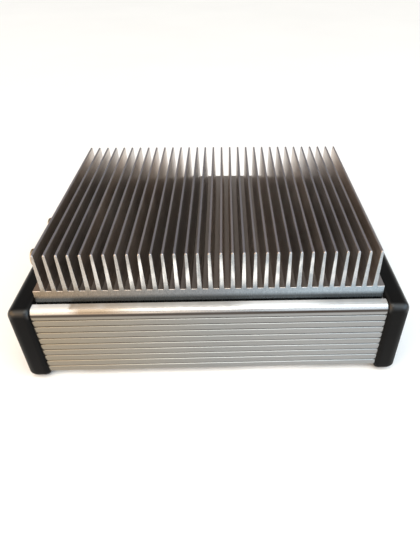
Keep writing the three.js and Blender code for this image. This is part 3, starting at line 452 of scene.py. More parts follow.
MOULDED = {
    "switch_plastic": ((0.020, 0.020, 0.021), 0.36),
    "black_insulator": ((0.026, 0.026, 0.029), 0.5),
    "red_plastic": ((0.36, 0.018, 0.012), 0.28),
    "module_epoxy": ((0.024, 0.024, 0.026), 0.55),
    "thermal_pad": ((0.34, 0.38, 0.40), 0.7, 1200),
    "capacitor_sleeve": ((0.014, 0.030, 0.10), 0.25),
    "ferrite": ((0.05, 0.065, 0.055), 0.6, 900),
}
FINISHES = {
    "anodised_extrusion": anodised_finish(),
    "bare_aluminium": bare_aluminium_finish(),
    "panel_aluminium": sheet_aluminium_finish(),
    "black_bezel": black_bezel_finish(),
    "connector_shell": passivated_finish(),
    "brass": turned_metal_finish("brass", (0.66, 0.46, 0.20), 0.18, 0.34),
    "plated_steel": turned_metal_finish("plated_steel", (0.58, 0.58, 0.59), 0.2, 0.36),
    "foot_rubber": rubber_finish(),
    "green_lens": lens_finish("green_lens", (0.02, 0.20, 0.06), (0.06, 0.42, 0.14)),
    "red_lens": lens_finish("red_lens", (0.26, 0.012, 0.008), (0.50, 0.03, 0.02)),
    "circuit_board": circuit_finish(),
    **{name: moulded_finish(name, *look) for name, look in MOULDED.items()},
}
GOLD = turned_metal_finish("contact_gold", (0.80, 0.58, 0.26), 0.14, 0.26)
COPPER = turned_metal_finish("winding_copper", (0.62, 0.27, 0.14), 0.2, 0.32)
SLOT_OF = {row["node"]: row["material_slot"] for row in frame["record"]["subparts"]}


# ---- mesh helpers
def mesh_of(name, vertices, faces):
    mesh = bpy.data.meshes.new(name)
    mesh.from_pydata([tuple(v) for v in vertices], [], faces)
    mesh.update()
    return mesh


def in_scene(name, data):
    """A new object in the scene that holds the data: a mesh, curve, light or camera."""
    made = bpy.data.objects.new(name, data)
    bpy.context.collection.objects.link(made)
    return made


def piece(name, mesh, slot, body="case", replaces=(), material=None):
    """Puts a mesh in the scene as a piece of the object, riding on its body."""
    made = in_scene(name, mesh)
    mesh.materials.clear()
    mesh.materials.append(material or FINISHES[slot])
    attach(made, body)
    if replaces:
        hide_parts(*replaces)
    return made


def smooth(mesh, angle):
    mesh.shade_smooth()
    mesh.set_sharp_from_angle(angle=math.radians(angle))


def stand_in(node, mesh, smooth_angle, name=None, body="case"):
    """A finer, smoothed piece that replaces a CAD node and takes its slot."""
    smooth(mesh, smooth_angle)
    return piece(name or node + "_fine", mesh, SLOT_OF[node], body, [node])


def round_edges(made, width, angle=40):
    """Rounds every edge of an object that is sharper than the angle, in degrees."""
    bevel = made.modifiers.new("edge", "BEVEL")
    bevel.width = width
    bevel.segments = 2
    bevel.limit_method = "ANGLE"
    bevel.angle_limit = math.radians(angle)
    return bevel


def nodes_named(start):
    return sorted(node for node in frame["nodes"] if node.startswith(start))


def node_place(node):
    """A node's lowest and highest corners, and its middle as x, y and z."""
    low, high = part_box(node)
    return low, high, [(a + b) / 2 for a, b in zip(low, high)]


def arc(u, v, radius, start, end, steps):
    """Points (u, v) on an arc, angles in degrees, both ends included."""
    angles = [math.radians(start + (end - start) * i / steps) for i in range(steps + 1)]
    return [(u + radius * math.cos(a), v + radius * math.sin(a)) for a in angles]


def rounded(u0, u1, v0, v1, radius, steps, top=None):
    """A rounded rectangle as points, counter-clockwise. Its upper corners may have a radius of their own."""
    top = top or radius
    return (arc(u1 - radius, v0 + radius, radius, -90, 0, steps) + arc(u1 - top, v1 - top, top, 0, 90, steps)
            + arc(u0 + top, v1 - top, top, 90, 180, steps)
            + arc(u0 + radius, v0 + radius, radius, 180, 270, steps))


def circle(u, v, radius, sides):
    return arc(u, v, radius, 0, 360 - 360 / sides, sides - 1)


def quarter(steps):
    """The angles of a quarter turn, in radians, both ends included."""
    return [math.pi / 2 * i / steps for i in range(steps + 1)]


def dome(radius, base, height, steps):
    """The profile of a dome between its rim and its crown, with both left out."""
    return [(radius * math.cos(a), base + height * math.sin(a)) for a in quarter(steps)[1:-1]]


def outward(mesh):
    """Turns a closed mesh's faces to point out."""
    work = bmesh.new()
    work.from_mesh(mesh)
    bmesh.ops.recalc_face_normals(work, faces=work.faces)
    work.to_mesh(mesh)
    work.free()
    mesh.update()


def lofted(name, sections, closed=False):
    """A mesh through sections of equal length, closed on itself or with a flat face at each end."""
    count = len(sections[0])
    starts = [count * number for number in range(len(sections))]
    faces = []
    for a, b in zip(starts, starts[1:] + starts[:1] if closed else starts[1:]):
        faces += [(a + i, a + (i + 1) % count, b + (i + 1) % count, b + i) for i in range(count)]
    if not closed:
        faces += [list(range(count))[::-1], list(range(starts[-1], starts[-1] + count))]
    mesh = mesh_of(name, [point for section in sections for point in section], faces)
    outward(mesh)
    return mesh


def prism(name, outline, start, end):
    """A closed prism along X of an outline of (y, z) points."""
    return lofted(name, [[(x, y, z) for y, z in outline] for x in (start, end)])


def turned(name, profile, u, v, axis="X", sides=48, closed=False):
    """A turned solid about X through (y, z), or about Z through (x, y). The profile is (radius, distance
    along the axis), and starts and ends on the axis unless it is closed."""
    vertices, rings = [], []
    for radius, along in profile:
        turns = [2 * math.pi * i / sides for i in range(sides)] if radius > 1e-9 else [0]
        rings.append(list(range(len(vertices), len(vertices) + len(turns))))
        for turn in turns:
            across, up = u + radius * math.cos(turn), v + radius * math.sin(turn)
            vertices.append((along, across, up) if axis == "X" else (across, up, along))
    faces = []
    for first, second in zip(rings, rings[1:] + rings[:1] if closed else rings[1:]):
        for i in range(sides):
            j = (i + 1) % sides
            if len(first) == 1:
                faces.append((first[0], second[j], second[i]))
            elif len(second) == 1:
                faces.append((first[i], first[j], second[0]))
            else:
                faces.append((first[i], first[j], second[j], second[i]))
    mesh = mesh_of(name, vertices, faces)
    outward(mesh)
    return mesh


def combined(name, *meshes):
    """One mesh that holds several."""
    work = bmesh.new()
    for mesh in meshes:
        work.from_mesh(mesh)
    made = bpy.data.meshes.new(name)
    work.to_mesh(made)
    work.free()
    return made


def carve(mesh, tools, operation="DIFFERENCE"):
    """The exact boolean of a mesh with a list of tool meshes."""
    base = in_scene("carve_base", mesh)
    helpers = []
    for tool in tools:
        helpers.append(in_scene("carve_tool", tool))
        modifier = base.modifiers.new("carve", "BOOLEAN")
        modifier.operation = operation
        modifier.solver = "EXACT"
        modifier.object = helpers[-1]
    bpy.context.view_layer.update()
    evaluated = base.evaluated_get(bpy.context.evaluated_depsgraph_get())
    result = bpy.data.meshes.new_from_object(evaluated)
    result.name = mesh.name
    for helper in [base, *helpers]:
        bpy.data.objects.remove(helper, do_unlink=True)
    return result


def mirrored(mesh, name):
    """The mesh mirrored in the case's middle plane."""
    made = mesh.copy()
    made.name = name
    made.transform(Matrix.Translation((2 * CASE_X, 0, 0)) @ Matrix.Scale(-1, 4, (1, 0, 0)))
    made.flip_normals()
    return made


# ---- extruded body
def groove_points():
    """The front face's V grooves, from the lowest up, with slightly rounded crests and roots."""
    points = []
    face = BODY_HI.y
    edge = face - 0.035 * MM
    bottom = face - GROOVE_DEPTH + 0.03 * MM
    half, crest, root = GROOVE_WIDTH / 2, 0.12 * MM, 0.1 * MM
    for i in reversed(range(GROOVES)):
        z = BODY_HI.z - TOP_GROOVE_DROP - i * GROOVE_PITCH
        points += [(face, z - half - crest), (edge, z - half), (bottom, z - root),
                   (bottom, z + root), (edge, z + half), (face, z + half + crest)]
    return points


def card_slot_points(z):
    """The two ribs inside the case that hold a board's edge at height z."""
    inner = BODY_HI.y - WALL
    rib = inner - CARD_DEPTH
    return [(inner, z + CARD_SLOT + CARD_RIB), (rib, z + CARD_SLOT + CARD_RIB), (rib, z + CARD_SLOT),
            (inner, z + CARD_SLOT), (inner, z), (rib, z), (rib, z - CARD_RIB), (inner, z - CARD_RIB)]


def body_half_outline():
    """Half of the extrusion's section, from the middle of its underside round to the middle of its floor."""
    face, top, bottom = BODY_HI.y, BODY_HI.z, BODY_LO.z
    inner = face - WALL
    lip_end = face - LIP_WIDTH
    lip_under = top - LIP_THICKNESS
    ledge = lip_under - PLATE_SLOT
    lip_round = 0.35 * MM
    points = arc(face - BOTTOM_RADIUS, bottom + BOTTOM_RADIUS, BOTTOM_RADIUS, -90, 0, 10)
    points += groove_points()
    points += arc(face - TOP_RADIUS, top - TOP_RADIUS, TOP_RADIUS, 0, 90, 16)
    points += arc(lip_end + lip_round, top - lip_round, lip_round, 90, 180, 4)
    points += [(lip_end, lip_under), (inner, lip_under), (inner, ledge), (lip_end + MM, ledge),
               (lip_end + MM, ledge - CARD_RIB), (inner, ledge - CARD_RIB)]
    for z in CARD_SLOTS_Z:
        points += card_slot_points(z)
    points.append((inner, bottom + FLOOR_THICKNESS))
    return points


def build_body():
    """The extrusion: one section all along, with a round screw boss in each corner."""
    half = body_half_outline()
    outline = half + [(-y, z) for y, z in reversed(half)]
    mesh = prism("ribbed_case", outline, BODY_LO.x, BODY_HI.x)
    bosses, holes = [], []
    for y, z in BOSS_PLACES:
        bosses.append(prism("boss", circle(y, z, BOSS_RADIUS, 24), BODY_LO.x, BODY_HI.x))
        holes.append(prism("hole", circle(y, z, SCREW_HOLE, 24), BODY_LO.x - MM, BODY_HI.x + MM))
    mesh = carve(carve(mesh, bosses, "UNION"), holes)
    stand_in("case_extrusion", mesh, 24, "ribbed_case")


# ---- heat sink
def fin_outline(x, lean):
    """One fin's outline as (z, x) points, leaning a little at its tip."""
    root, tip, fillet = FIN_ROOT / 2, FIN_TIP / 2, 0.5 * MM
    left = arc(SINK_HI.z - FIN_HEIGHT + fillet, x - root - fillet, fillet, 180, 90, 3)
    tip_arc = arc(SINK_HI.z - tip, x + lean, tip, -90, 90, 8)
    return left + tip_arc + [(z, 2 * x - u) for z, u in reversed(left)]


def fin_end_drops():
    """(distance from a fin's end, how far its top is rounded down there)."""
    radius = 0.8 * MM
    steps = [radius * (1 - math.cos(angle)) for angle in quarter(5)]
    return [(step, radius - math.sqrt(radius ** 2 - (radius - step) ** 2)) for step in steps]


def lowered(z, drop):
    """Fin tips are rounded down fully at the fins' ends, and the base's upper edge a little less."""
    if z > SINK_HI.z - FIN_TIP:
        return z - drop
    on_base = abs(z - SINK_HI.z + FIN_HEIGHT) < 0.05 * MM
    return z - 0.45 * drop if on_base else z


def build_heat_sink():
    """The base and its fins as one section, with the fins' upper corners rounded at both ends."""
    middle = (SINK_LO.x + SINK_HI.x) / 2
    base_top = SINK_HI.z - FIN_HEIGHT
    outline = [(SINK_LO.z, SINK_LO.x), (base_top, SINK_LO.x)]
    for i in range(FINS):
        outline += fin_outline(middle + (i - (FINS - 1) / 2) * FIN_PITCH, random.uniform(-0.09, 0.09) * MM)
    outline += [(base_top, SINK_HI.x), (SINK_LO.z, SINK_HI.x)]
    drops = fin_end_drops()
    stations = [(SINK_LO.y + along, drop) for along, drop in drops]
    stations += [(SINK_HI.y - along, drop) for along, drop in reversed(drops)]
    sections = [[(x, y, lowered(z, drop)) for z, x in outline] for y, drop in stations]
    made = stand_in("heat_sink", lofted("finned_heat_sink", sections), 30, "finned_heat_sink")
    round_edges(made, 0.14 * MM, 55).harden_normals = True


# ---- bezels
def bezel_crowned(share, inset=0.0):
    """A section of the bezel's outside: half its width, its lowest and highest z, and its corners' radii."""
    smallest = 0.6 * MM
    return (BODY_HI.y + FACE_CROWN * share - inset,
            BODY_LO.z - TOP_CROWN * share + inset, BODY_HI.z + TOP_CROWN * share - inset,
            max(BOTTOM_RADIUS + BEZEL_CORNER * share - inset, smallest),
            max(TOP_RADIUS + BEZEL_CORNER * share - inset, smallest))


def bezel_window(amount):
    """The bezel's window, widened by an amount, in the same terms."""
    radius = 3 * MM + amount
    return (WINDOW_Y + amount, BODY_LO.z + WINDOW_BAR - amount, BODY_HI.z - WINDOW_BAR + amount,
            radius, radius)


def bezel_sections():
    """Sections of the right bezel along a closed path: up its crowned outside, round its outer end, down
    its window and round the step that holds the panel. Each is (x, section)."""
    start, face = BEZEL_LO.x - 0.15 * MM, BEZEL_HI.x
    rise, rise_steps, first_share = 3 * MM, 9, 0.24
    sections = [(start, bezel_crowned(first_share / 2)), (start + 0.06 * MM, bezel_crowned(first_share))]
    for i in range(1, rise_steps + 1):
        t = i / rise_steps
        share = first_share + (1 - first_share) * math.sqrt(1 - (1 - t) ** 2)
        sections.append((start + rise * t, bezel_crowned(share)))
    for angle in quarter(14):
        inset = BEZEL_ROUND_INWARD * (1 - math.cos(angle))
        sections.append((face - BEZEL_ROUND_ALONG * (1 - math.sin(angle)), bezel_crowned(1, inset)))
    edge = 0.9 * MM
    for angle in quarter(6):
        sections.append((face - edge + edge * math.cos(angle), bezel_window(edge * (1 - math.sin(angle)))))
    panel = (PANEL_HI.y + GAP, PANEL_LO.z - GAP, PANEL_HI.z + GAP, 2 * MM, 2 * MM)
    step = PANEL_HI.x + GAP
    return sections + [(step, bezel_window(0)), (step, panel), (start, panel)]


def screw_way(y, z):
    """The tool that cuts a screw's hole and its deep, chamfered counterbore."""
    start, seat, face = BEZEL_LO.x - MM, BEZEL_HI.x - 6 * MM, BEZEL_HI.x
    bore, mouth = 3.5 * MM, 4.1 * MM
    profile = [(0, start), (SCREW_HOLE, start), (SCREW_HOLE, seat), (bore, seat), (bore, face - 0.4 * MM),
               (mouth, face + 0.2 * MM), (mouth, face + MM), (0, face + MM)]
    return turned("screw_way", profile, y, z, sides=32)


def build_bezels():
    """The right bezel, with its four screw holes, and its mirror image on the left."""
    sections = [[(x, y, z) for y, z in rounded(-half, half, low, high, bottom, 10, top)]
                for x, (half, low, high, bottom, top) in bezel_sections()]
    mesh = lofted("end_bezel_right", sections, closed=True)
    mesh = carve(mesh, [screw_way(y, z) for y, z in BOSS_PLACES])
    stand_in("bezel_right", mesh, 35, "end_bezel_right")
    stand_in("bezel_left", mirrored(mesh, "end_bezel_left"), 35, "end_bezel_left")


# ---- screws
def cross_recess(x, y, z):
    """Two crossed slots for a screwdriver, as tool meshes in a head whose top is at x."""
    reach, width, deep = 1.75 * MM, 0.42 * MM, 1.5 * MM
    return [prism("bar", [(y - u, z - v), (y + u, z - v), (y + u, z + v), (y - u, z + v)],
                  x - deep, x + 2 * deep) for u, v in ((reach, width), (width, reach))]


def screw_profile(tip, top, head):
    """A pan-head screw from its tip to its top, with a shank of thread-like rings."""
    seat, rim = top - 2.3 * MM, 0.9 * MM
    shank, thread, pitch = 1.5 * MM, 0.24 * MM, 0.5 * MM
    profile = [(0, tip), (0.7 * MM, tip), (shank - 0.2 * MM, tip + 1.6 * MM)]
    x = tip + 1.8 * MM
    while x < seat - 0.6 * MM:
        profile += [(shank, x), (shank - thread, x + pitch / 2)]
        x += pitch
    profile += [(shank - thread, seat), (head - 0.1 * MM, seat), (head, seat + 0.15 * MM), (head, seat + rim)]
    return profile + dome(head, seat + rim, 1.4 * MM, 6) + [(0, top)]


def build_end_screws():
    """Pan-head screws with a cross recess, at the four corners of each end."""
    for node in nodes_named("end_screw_right"):
        low, high, (_, y, z) = node_place(node)
        mesh = turned(node + "_fine", screw_profile(low.x, high.x, (high.y - low.y) / 2), y, z, sides=40)
        mesh = carve(mesh, cross_recess(high.x, y, z))
        stand_in(node, mesh, 30)
        other = node.replace("right", "left")
        stand_in(other, mirrored(mesh, other + "_fine"), 30)


# ---- feet
def build_feet():
    """Round rubber feet, hollowed a little underneath."""
    for node in nodes_named("rubber_foot"):
        low, high, (x, y, _) = node_place(node)
        radius, rounding = (high.x - low.x) / 2, 0.7 * MM
        sole, hollow = radius - 1.3 * MM, low.z + 0.25 * MM
        profile = [(0, hollow), (2 * MM, hollow), (2.4 * MM, low.z), (sole, low.z)]
        profile += arc(sole, low.z + rounding, rounding, -60, 0, 4)
        profile += [(radius - 0.05 * MM, high.z - 0.3 * MM), (radius - 0.25 * MM, high.z), (0, high.z)]
        stand_in(node, turned(node + "_fine", profile, x, y, "Z", 40), 35)


# ---- round connectors
SHELL = {
    "ring": 6.6 * MM, "ring_length": 12 * MM, "collar": 6.4 * MM, "flutes": 14, "flute_depth": 0.55 * MM,
    "barrel": 5.8 * MM, "bore": 4.9 * MM, "flange_thickness": 3 * MM, "flange_edge": 0.15 * MM,
    "flange_rounding": 0.6 * MM, "undercut": 0.6 * MM, "thread_depth": 0.45 * MM, "thread_pitch": 1 * MM,
}
# each key's place round the bore, in degrees, and half its width
KEYS = ((90, 0.7 * MM), (160, 0.35 * MM), (215, 0.35 * MM), (325, 0.35 * MM), (20, 0.35 * MM))
# each connector's rings of contacts, as (how many, how far out), and a contact's radius
CONTACTS = {
    "motor": ([(4, 2.5 * MM)], 1 * MM),
    "encoder": ([(3, 1.3 * MM), (9, 3.5 * MM)], 0.5 * MM),
}


def round_section(x, y, z, radii):
    """Points about (y, z) at x, one for each radius, all the way round."""
    turns = [2 * math.pi * i / len(radii) for i in range(len(radii))]
    return [(x, y + r * math.cos(turn), z + r * math.sin(turn)) for r, turn in zip(radii, turns)]


def sleeve(name, y, z, rows, inner):
    """A sleeve with a shaped outside: rows are (x, radii round it) from end to end, inner is its bore."""
    sides = len(rows[0][1])
    sections = [round_section(x, y, z, radii) for x, radii in rows]
    sections += [round_section(x, y, z, [inner] * sides) for x in (rows[-1][0], rows[0][0])]
    return lofted(name, sections, closed=True)


def threaded_barrel(y, z, start, end):
    """A sleeve whose outside is a helical thread from start to end, running out at both ends."""
    radius, depth, pitch = SHELL["barrel"], SHELL["thread_depth"], SHELL["thread_pitch"]
    sides, flat, run_out = 72, 0.12, 0.8 * pitch
    count = int((end - start) / pitch * 8)
    rows = []
    for row in range(count + 1):
        x = start + (end - start) * row / count
        fade = max(min(1, (x - start) / run_out, (end - x) / run_out), 0)
        radii = []
        for i in range(sides):
            wave = abs((((x - start) / pitch - i / sides) % 1) * 2 - 1)
            crest = min(1, max(0, (wave - flat) / (1 - 2 * flat)))
            radii.append(radius - depth * (1 - crest) * fade)
        rows.append((x, radii))
    return sleeve("thread", y, z, rows, radius - 1.2 * MM)


def fluted_ring(y, z, start, end):
    """The grip ring: shallow flutes all round it, that run out at both of its ends."""
    flutes, run_out, chamfered = SHELL["flutes"], 0.12, 0.05
    sides, count = 12 * flutes, 12
    rows = []
    for row in range(count + 1):
        t = row / count
        depth = SHELL["flute_depth"] * min(1, t / run_out, (1 - t) / run_out)
        chamfer = 0.45 * MM * (1 - min(1, t / chamfered, (1 - t) / chamfered))
        hollows = [(0.5 + 0.5 * math.cos(flutes * 2 * math.pi * i / sides)) ** 2 for i in range(sides)]
        rows.append((start + (end - start) * t, [SHELL["ring"] - depth * h - chamfer for h in hollows]))
    return sleeve("grip", y, z, rows, (SHELL["bore"] + SHELL["collar"]) / 2)


def key_rib(y, z, mouth, degrees, half):
    """A key inside the receptacle's mouth, which its plug's key way slides over."""
    turn = math.radians(degrees)
    across, up = Vector((0, -math.sin(turn), math.cos(turn))), Vector((0, math.cos(turn), math.sin(turn)))
    inner, outer = SHELL["bore"] - 0.5 * MM, SHELL["bore"] + 0.2 * MM
    section = [across * side + up * reach
               for side, reach in ((-half, inner), (half, inner), (half, outer), (-half, outer))]
    ends = [Vector((x, y, z)) for x in (mouth + 1.2 * MM, mouth + 6.8 * MM)]
    return lofted("key", [[end + point for point in section] for end in ends])


def shell_profile(mouth, ring_end, shoulder, face, back, flange):
    """The receptacle's body as a closed profile, from its back over the flange to its mouth."""
    barrel, bore, collar = SHELL["barrel"], SHELL["bore"], SHELL["collar"]
    rounding, core = SHELL["flange_rounding"], barrel - SHELL["undercut"]
    edge = face - SHELL["flange_edge"]
    profile = [(bore, back), (barrel, back), (barrel, face), (flange - face + edge, face), (flange, edge)]
    profile += arc(flange - rounding, shoulder + rounding, rounding, 0, -90, 4)
    return profile + [
        (barrel + 0.35 * MM, shoulder), (barrel, shoulder - 0.35 * MM), (barrel, shoulder - 0.9 * MM),
        (core, shoulder - 1.3 * MM), (core, ring_end + 0.2 * MM), (collar - 0.4 * MM, ring_end),
        (collar, ring_end - 0.4 * MM), (collar, mouth + 0.5 * MM), (collar - 0.15 * MM, mouth + 0.15 * MM),
        (collar - 0.5 * MM, mouth), (bore + 0.4 * MM, mouth), (bore, mouth + 0.4 * MM)]


def build_connector(kind):
    """A panel receptacle that points to -X: threaded body, fluted grip ring, key ribs and insulator."""
    low, high, (_, y, z) = node_place(kind + "_connector_shell")
    mouth, ring_end = low.x, low.x + SHELL["ring_length"]
    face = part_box("end_panel_left")[0].x - GAP
    shoulder = face - SHELL["flange_thickness"]
    profile = shell_profile(mouth, ring_end, shoulder, face, high.x, (high.y - low.y) / 2)
    shell = turned("shell", profile, y, z, sides=72, closed=True)
    thread = threaded_barrel(y, z, ring_end + 0.5 * MM, shoulder - 0.9 * MM)
    grip = fluted_ring(y, z, mouth + 1.2 * MM, ring_end - 0.8 * MM)
    keys = [key_rib(y, z, mouth, degrees, half) for degrees, half in KEYS]
    mesh = combined(kind + "_receptacle", shell, thread, grip, *keys)
    stand_in(kind + "_connector_shell", mesh, 40, kind + "_receptacle")
    build_insert(kind, y, z)


def contact_centres(rings, y, z):
    """The contacts' places: each ring is (how many, how far out)."""
    turns = [(reach, (i + 0.5) / count * 2 * math.pi) for count, reach in rings for i in range(count)]
    return [(y - reach * math.cos(turn), z + reach * math.sin(turn)) for reach, turn in turns]


def build_insert(kind, y, z):
    """The insulator in a receptacle, and the gold sockets in its holes."""
    node = kind + "_connector_insert"
    low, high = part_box(node)
    radius = (high.y - low.y) / 2
    rings, contact = CONTACTS[kind]
    centres = contact_centres(rings, y, z)
    chamfer = 0.3 * MM
    profile = [(0, high.x), (radius, high.x), (radius, low.x + chamfer), (radius - chamfer, low.x),
               (0, low.x)]
    mesh = turned(node + "_fine", profile, y, z, sides=64)
    holes = [prism("hole", circle(cy, cz, contact, 20), low.x - MM, low.x + 4.5 * MM) for cy, cz in centres]
    stand_in(node, carve(mesh, holes), 35)
    bore, wall, back = contact * 0.62, contact * 0.96, low.x + 4.2 * MM
    section = [(bore, back), (wall, back), (wall, low.x + 0.25 * MM), (contact * 0.86, low.x + 0.1 * MM),
               (bore, low.x + 0.4 * MM)]
    for number, (cy, cz) in enumerate(centres, 1):
        name = f"{kind}_contact_{number}"
        socket = turned(name, section, cy, cz, sides=20, closed=True)
        smooth(socket, 40)
        piece(name, socket, None, material=GOLD)


# ---- panel parts on the right end
def build_leds():
    """Two lenses with domed ends."""
    for node in ("status_led_ready", "status_led_fault"):
        low, high, (_, y, z) = node_place(node)
        radius, height = (high.y - low.y) / 2, 1.8 * MM
        flat = high.x - height
        profile = [(0, low.x), (radius, low.x), (radius, flat)]
        profile += dome(radius, flat, height, 8) + [(0, high.x)]
        stand_in(node, turned(node + "_fine", profile, y, z, sides=40), 35)


def build_reset_bushing():
    """The threaded bushing that the reset cap slides in."""
    low, high, (_, y, z) = node_place("reset_button_bushing")
    outer, bore, thread = (high.y - low.y) / 2, 3 * MM, 4 * MM
    shoulder, rounding = high.x - 2.2 * MM, 0.8 * MM
    profile = [(bore, low.x), (thread, low.x), (thread, shoulder), (outer, shoulder)]
    profile += arc(outer - rounding, high.x - rounding, rounding, 0, 90, 5)
    profile += [(bore + 0.4 * MM, high.x), (bore, high.x - 0.4 * MM)]
    mesh = turned("reset_bushing_fine", profile, y, z, sides=56, closed=True)
    stand_in("reset_button_bushing", mesh, 35, "reset_bushing_fine")


def build_reset_cap():
    """The cap's face is dished for a fingertip."""
    low, high, (_, y, z) = node_place("reset_button_cap")
    radius, rounding, rim = (high.y - low.y) / 2, 0.6 * MM, high.x - 0.7 * MM
    profile = [(0, low.x), (radius, low.x)] + arc(radius - rounding, rim, rounding, 0, 90, 5)
    profile += [(radius * 0.6, high.x - 0.22 * MM), (radius * 0.3, high.x - 0.34 * MM)]
    profile.append((0, high.x - 0.38 * MM))
    mesh = turned("reset_cap_fine", profile, y, z, sides=48)
    stand_in("reset_button_cap", mesh, 40, "reset_cap_fine", "reset_button")


def build_inlet_blades():
    """The supply inlet's three metal blades, drawn as thin shells over the housing's own pins."""
    _, high, (_, middle_y, middle_z) = node_place("power_inlet")
    half_width, half_height = 1.04 * MM, 2.04 * MM
    tip = high.x - 5.45 * MM
    blade_places = ((-7 * MM, -2 * MM), (0, 2 * MM), (7 * MM, -2 * MM))
    for number, (across, up) in enumerate(blade_places, 1):
        y, z = middle_y + across, middle_z + up
        outline = rounded(y - half_width, y + half_width, z - half_height, z + half_height, 0.3 * MM, 3)
        blade = prism("blade", outline, tip - 10.95 * MM, tip)
        smooth(blade, 32)
        made = piece(f"inlet_blade_{number}", blade, "plated_steel")
        round_edges(made, 0.35 * MM).harden_normals = True


def build_network_liner():
    """The black moulding inside the network socket."""
    low, high, (_, middle, _) = node_place("network_socket")
    face = high.x
    half_latch, half_width, floor, latch_top, top = 3, 5.9, 1.6, 3.9, 11
    mouth_back, rear_length = face - 7.9 * MM, 4 * MM
    hollow_back = mouth_back + 0.4 * MM

    def mouth(inset):
        """The plug's opening with its latch way below, its walls moved in by an inset in millimetres."""
        latch, width = half_latch - inset, half_width - inset
        right = [(latch, floor + inset), (latch, latch_top + inset), (width, latch_top + inset),
                 (width, top - inset)]
        outline = right + [(-y, z) for y, z in reversed(right)]
        return [(middle + y * MM, low.z + z * MM) for y, z in outline]

    def upper(inset):
        """The same opening behind the latch way, a plain rectangle."""
        reach = (half_width - inset) * MM
        return rounded(middle - reach, middle + reach, low.z + (latch_top + inset) * MM,
                       low.z + (top - inset) * MM, 0.1 * MM, 2)

    block = prism("liner", mouth(0.05), mouth_back, face - 0.9 * MM)
    rear = prism("liner_back", upper(0.05), mouth_back - rear_length, mouth_back + 0.1 * MM)
    hollow = [prism("hollow", mouth(0.45), hollow_back, face + 1 * MM),
              prism("hollow_back", upper(0.45), hollow_back - rear_length, hollow_back + 0.1 * MM)]
    piece("network_liner", carve(carve(block, [rear], "UNION"), hollow), "black_insulator")


def build_network_contacts():
    """The eight sprung gold wires in the network socket, sloping down to the back."""
    low, high, (_, middle, _) = node_place("network_socket")
    half, thick, pitch = 0.24 * MM, 0.3 * MM, 1.02 * MM
    front, back = high.x - 2.4 * MM, high.x - 10.5 * MM
    top, bottom = low.z + 10.45 * MM, low.z + 7.0 * MM
    side = [(front, top), (front, top - thick), (back, bottom - thick), (back, bottom)]
    centres = [middle + (i - 3.5) * pitch for i in range(8)]
    wires = [lofted("wire", [[(x, edge, z) for x, z in side] for edge in (y - half, y + half)])
             for y in centres]
    piece("network_contacts", combined("network_contacts", *wires), "brass", material=GOLD)


# ---- parts on the boards
def build_capacitors():
    """Sleeved cans with a rolled groove near the top."""
    for node in nodes_named("dc_link"):
        low, high, (x, y, _) = node_place(node)
        r, groove = (high.x - low.x) / 2, 0.5 * MM
        profile = [(0, low.z + 0.4 * MM), (r * 0.78, low.z + 0.4 * MM), (r * 0.84, low.z), (r * 0.94, low.z),
                   (r, low.z + 0.5 * MM), (r, high.z - 2.9 * MM), (r - groove, high.z - 2.3 * MM),
                   (r - groove, high.z - 1.9 * MM), (r, high.z - 1.3 * MM), (r, high.z - 0.4 * MM),
                   (r - 0.4 * MM, high.z), (0, high.z)]
        stand_in(node, turned(node + "_fine", profile, x, y, "Z", 48), 40)


CHOKE_OUTER, CHOKE_INNER, CHOKE_HALF = 12.6 * MM, 7.4 * MM, 5.6 * MM
CHOKE_WIRE = 0.45 * MM


def winding_path(x, y, z):
    """A coil of squared loops that hug the ring's section, most of the way round it."""
    turns, steps, squareness = 22, 40, 0.45
    clear = CHOKE_WIRE + 0.1 * MM
    middle = (CHOKE_OUTER + CHOKE_INNER) / 2
    reach, rise = (CHOKE_OUTER - CHOKE_INNER) / 2 + clear, CHOKE_HALF + clear
    path = []
    for i in range(turns * steps + 1):
        around = math.radians(320) * i / (turns * steps)
        turn = 2 * math.pi * i / steps
        out, up = (math.copysign(abs(part) ** squareness, part) for part in (math.cos(turn), math.sin(turn)))
        radial = middle + reach * out
        path.append((x + radial * math.cos(around), y + radial * math.sin(around), z + rise * up))
    return path


def build_choke():
    """A ferrite ring inside a single-layer copper winding."""
    _, _, (x, y, z) = node_place("input_choke")
    section = rounded(CHOKE_INNER, CHOKE_OUTER, z - CHOKE_HALF, z + CHOKE_HALF, 1 * MM, 4)
    stand_in("input_choke", turned("choke_ring", section, x, y, "Z", 64, closed=True), 40, "choke_ring")
    winding = bpy.data.curves.new("choke_winding", "CURVE")
    winding.dimensions = "3D"
    winding.bevel_depth = CHOKE_WIRE
    winding.bevel_resolution = 3
    winding.materials.append(COPPER)
    path = winding_path(x, y, z)
    spline = winding.splines.new("POLY")
    spline.points.add(len(path) - 1)
    for point, place in zip(spline.points, path):
        point.co = (*place, 1)
    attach(in_scene("choke_winding", winding), "case")


# ---- everything
def finish_cad_nodes():
    """CAD nodes whose shape is right stay, with their own finish and small rounded edges."""
    for node, made in frame["nodes"].items():
        made.data.materials.clear()
        made.data.materials.append(FINISHES[SLOT_OF[node]])
        if not made.hide_render:
            round_edges(made, 0.15 * MM)


build_body()
build_heat_sink()
build_bezels()
build_end_screws()
build_feet()
for connector in CONTACTS:
    build_connector(connector)
build_leds()
build_reset_bushing()
build_reset_cap()
build_capacitors()
build_choke()
build_inlet_blades()
build_network_liner()
build_network_contacts()
finish_cad_nodes()


# ---- floor, light and camera
def build_floor():
    half = 6.0
    corners = [(-half, -half, 0), (half, -half, 0), (half, half, 0), (-half, half, 0)]
    mesh = mesh_of("floor", corners, [(0, 1, 2, 3)])
    floor = in_scene("floor", mesh)
    paint = Finish("pale_floor", (0.86, 0.86, 0.86), 0.85)
    paint.drive({"Base Color": paint.ramp(paint.noise(3, 3), (0.3, 0.85), (0.7, 0.88))})
    mesh.materials.append(paint.material)


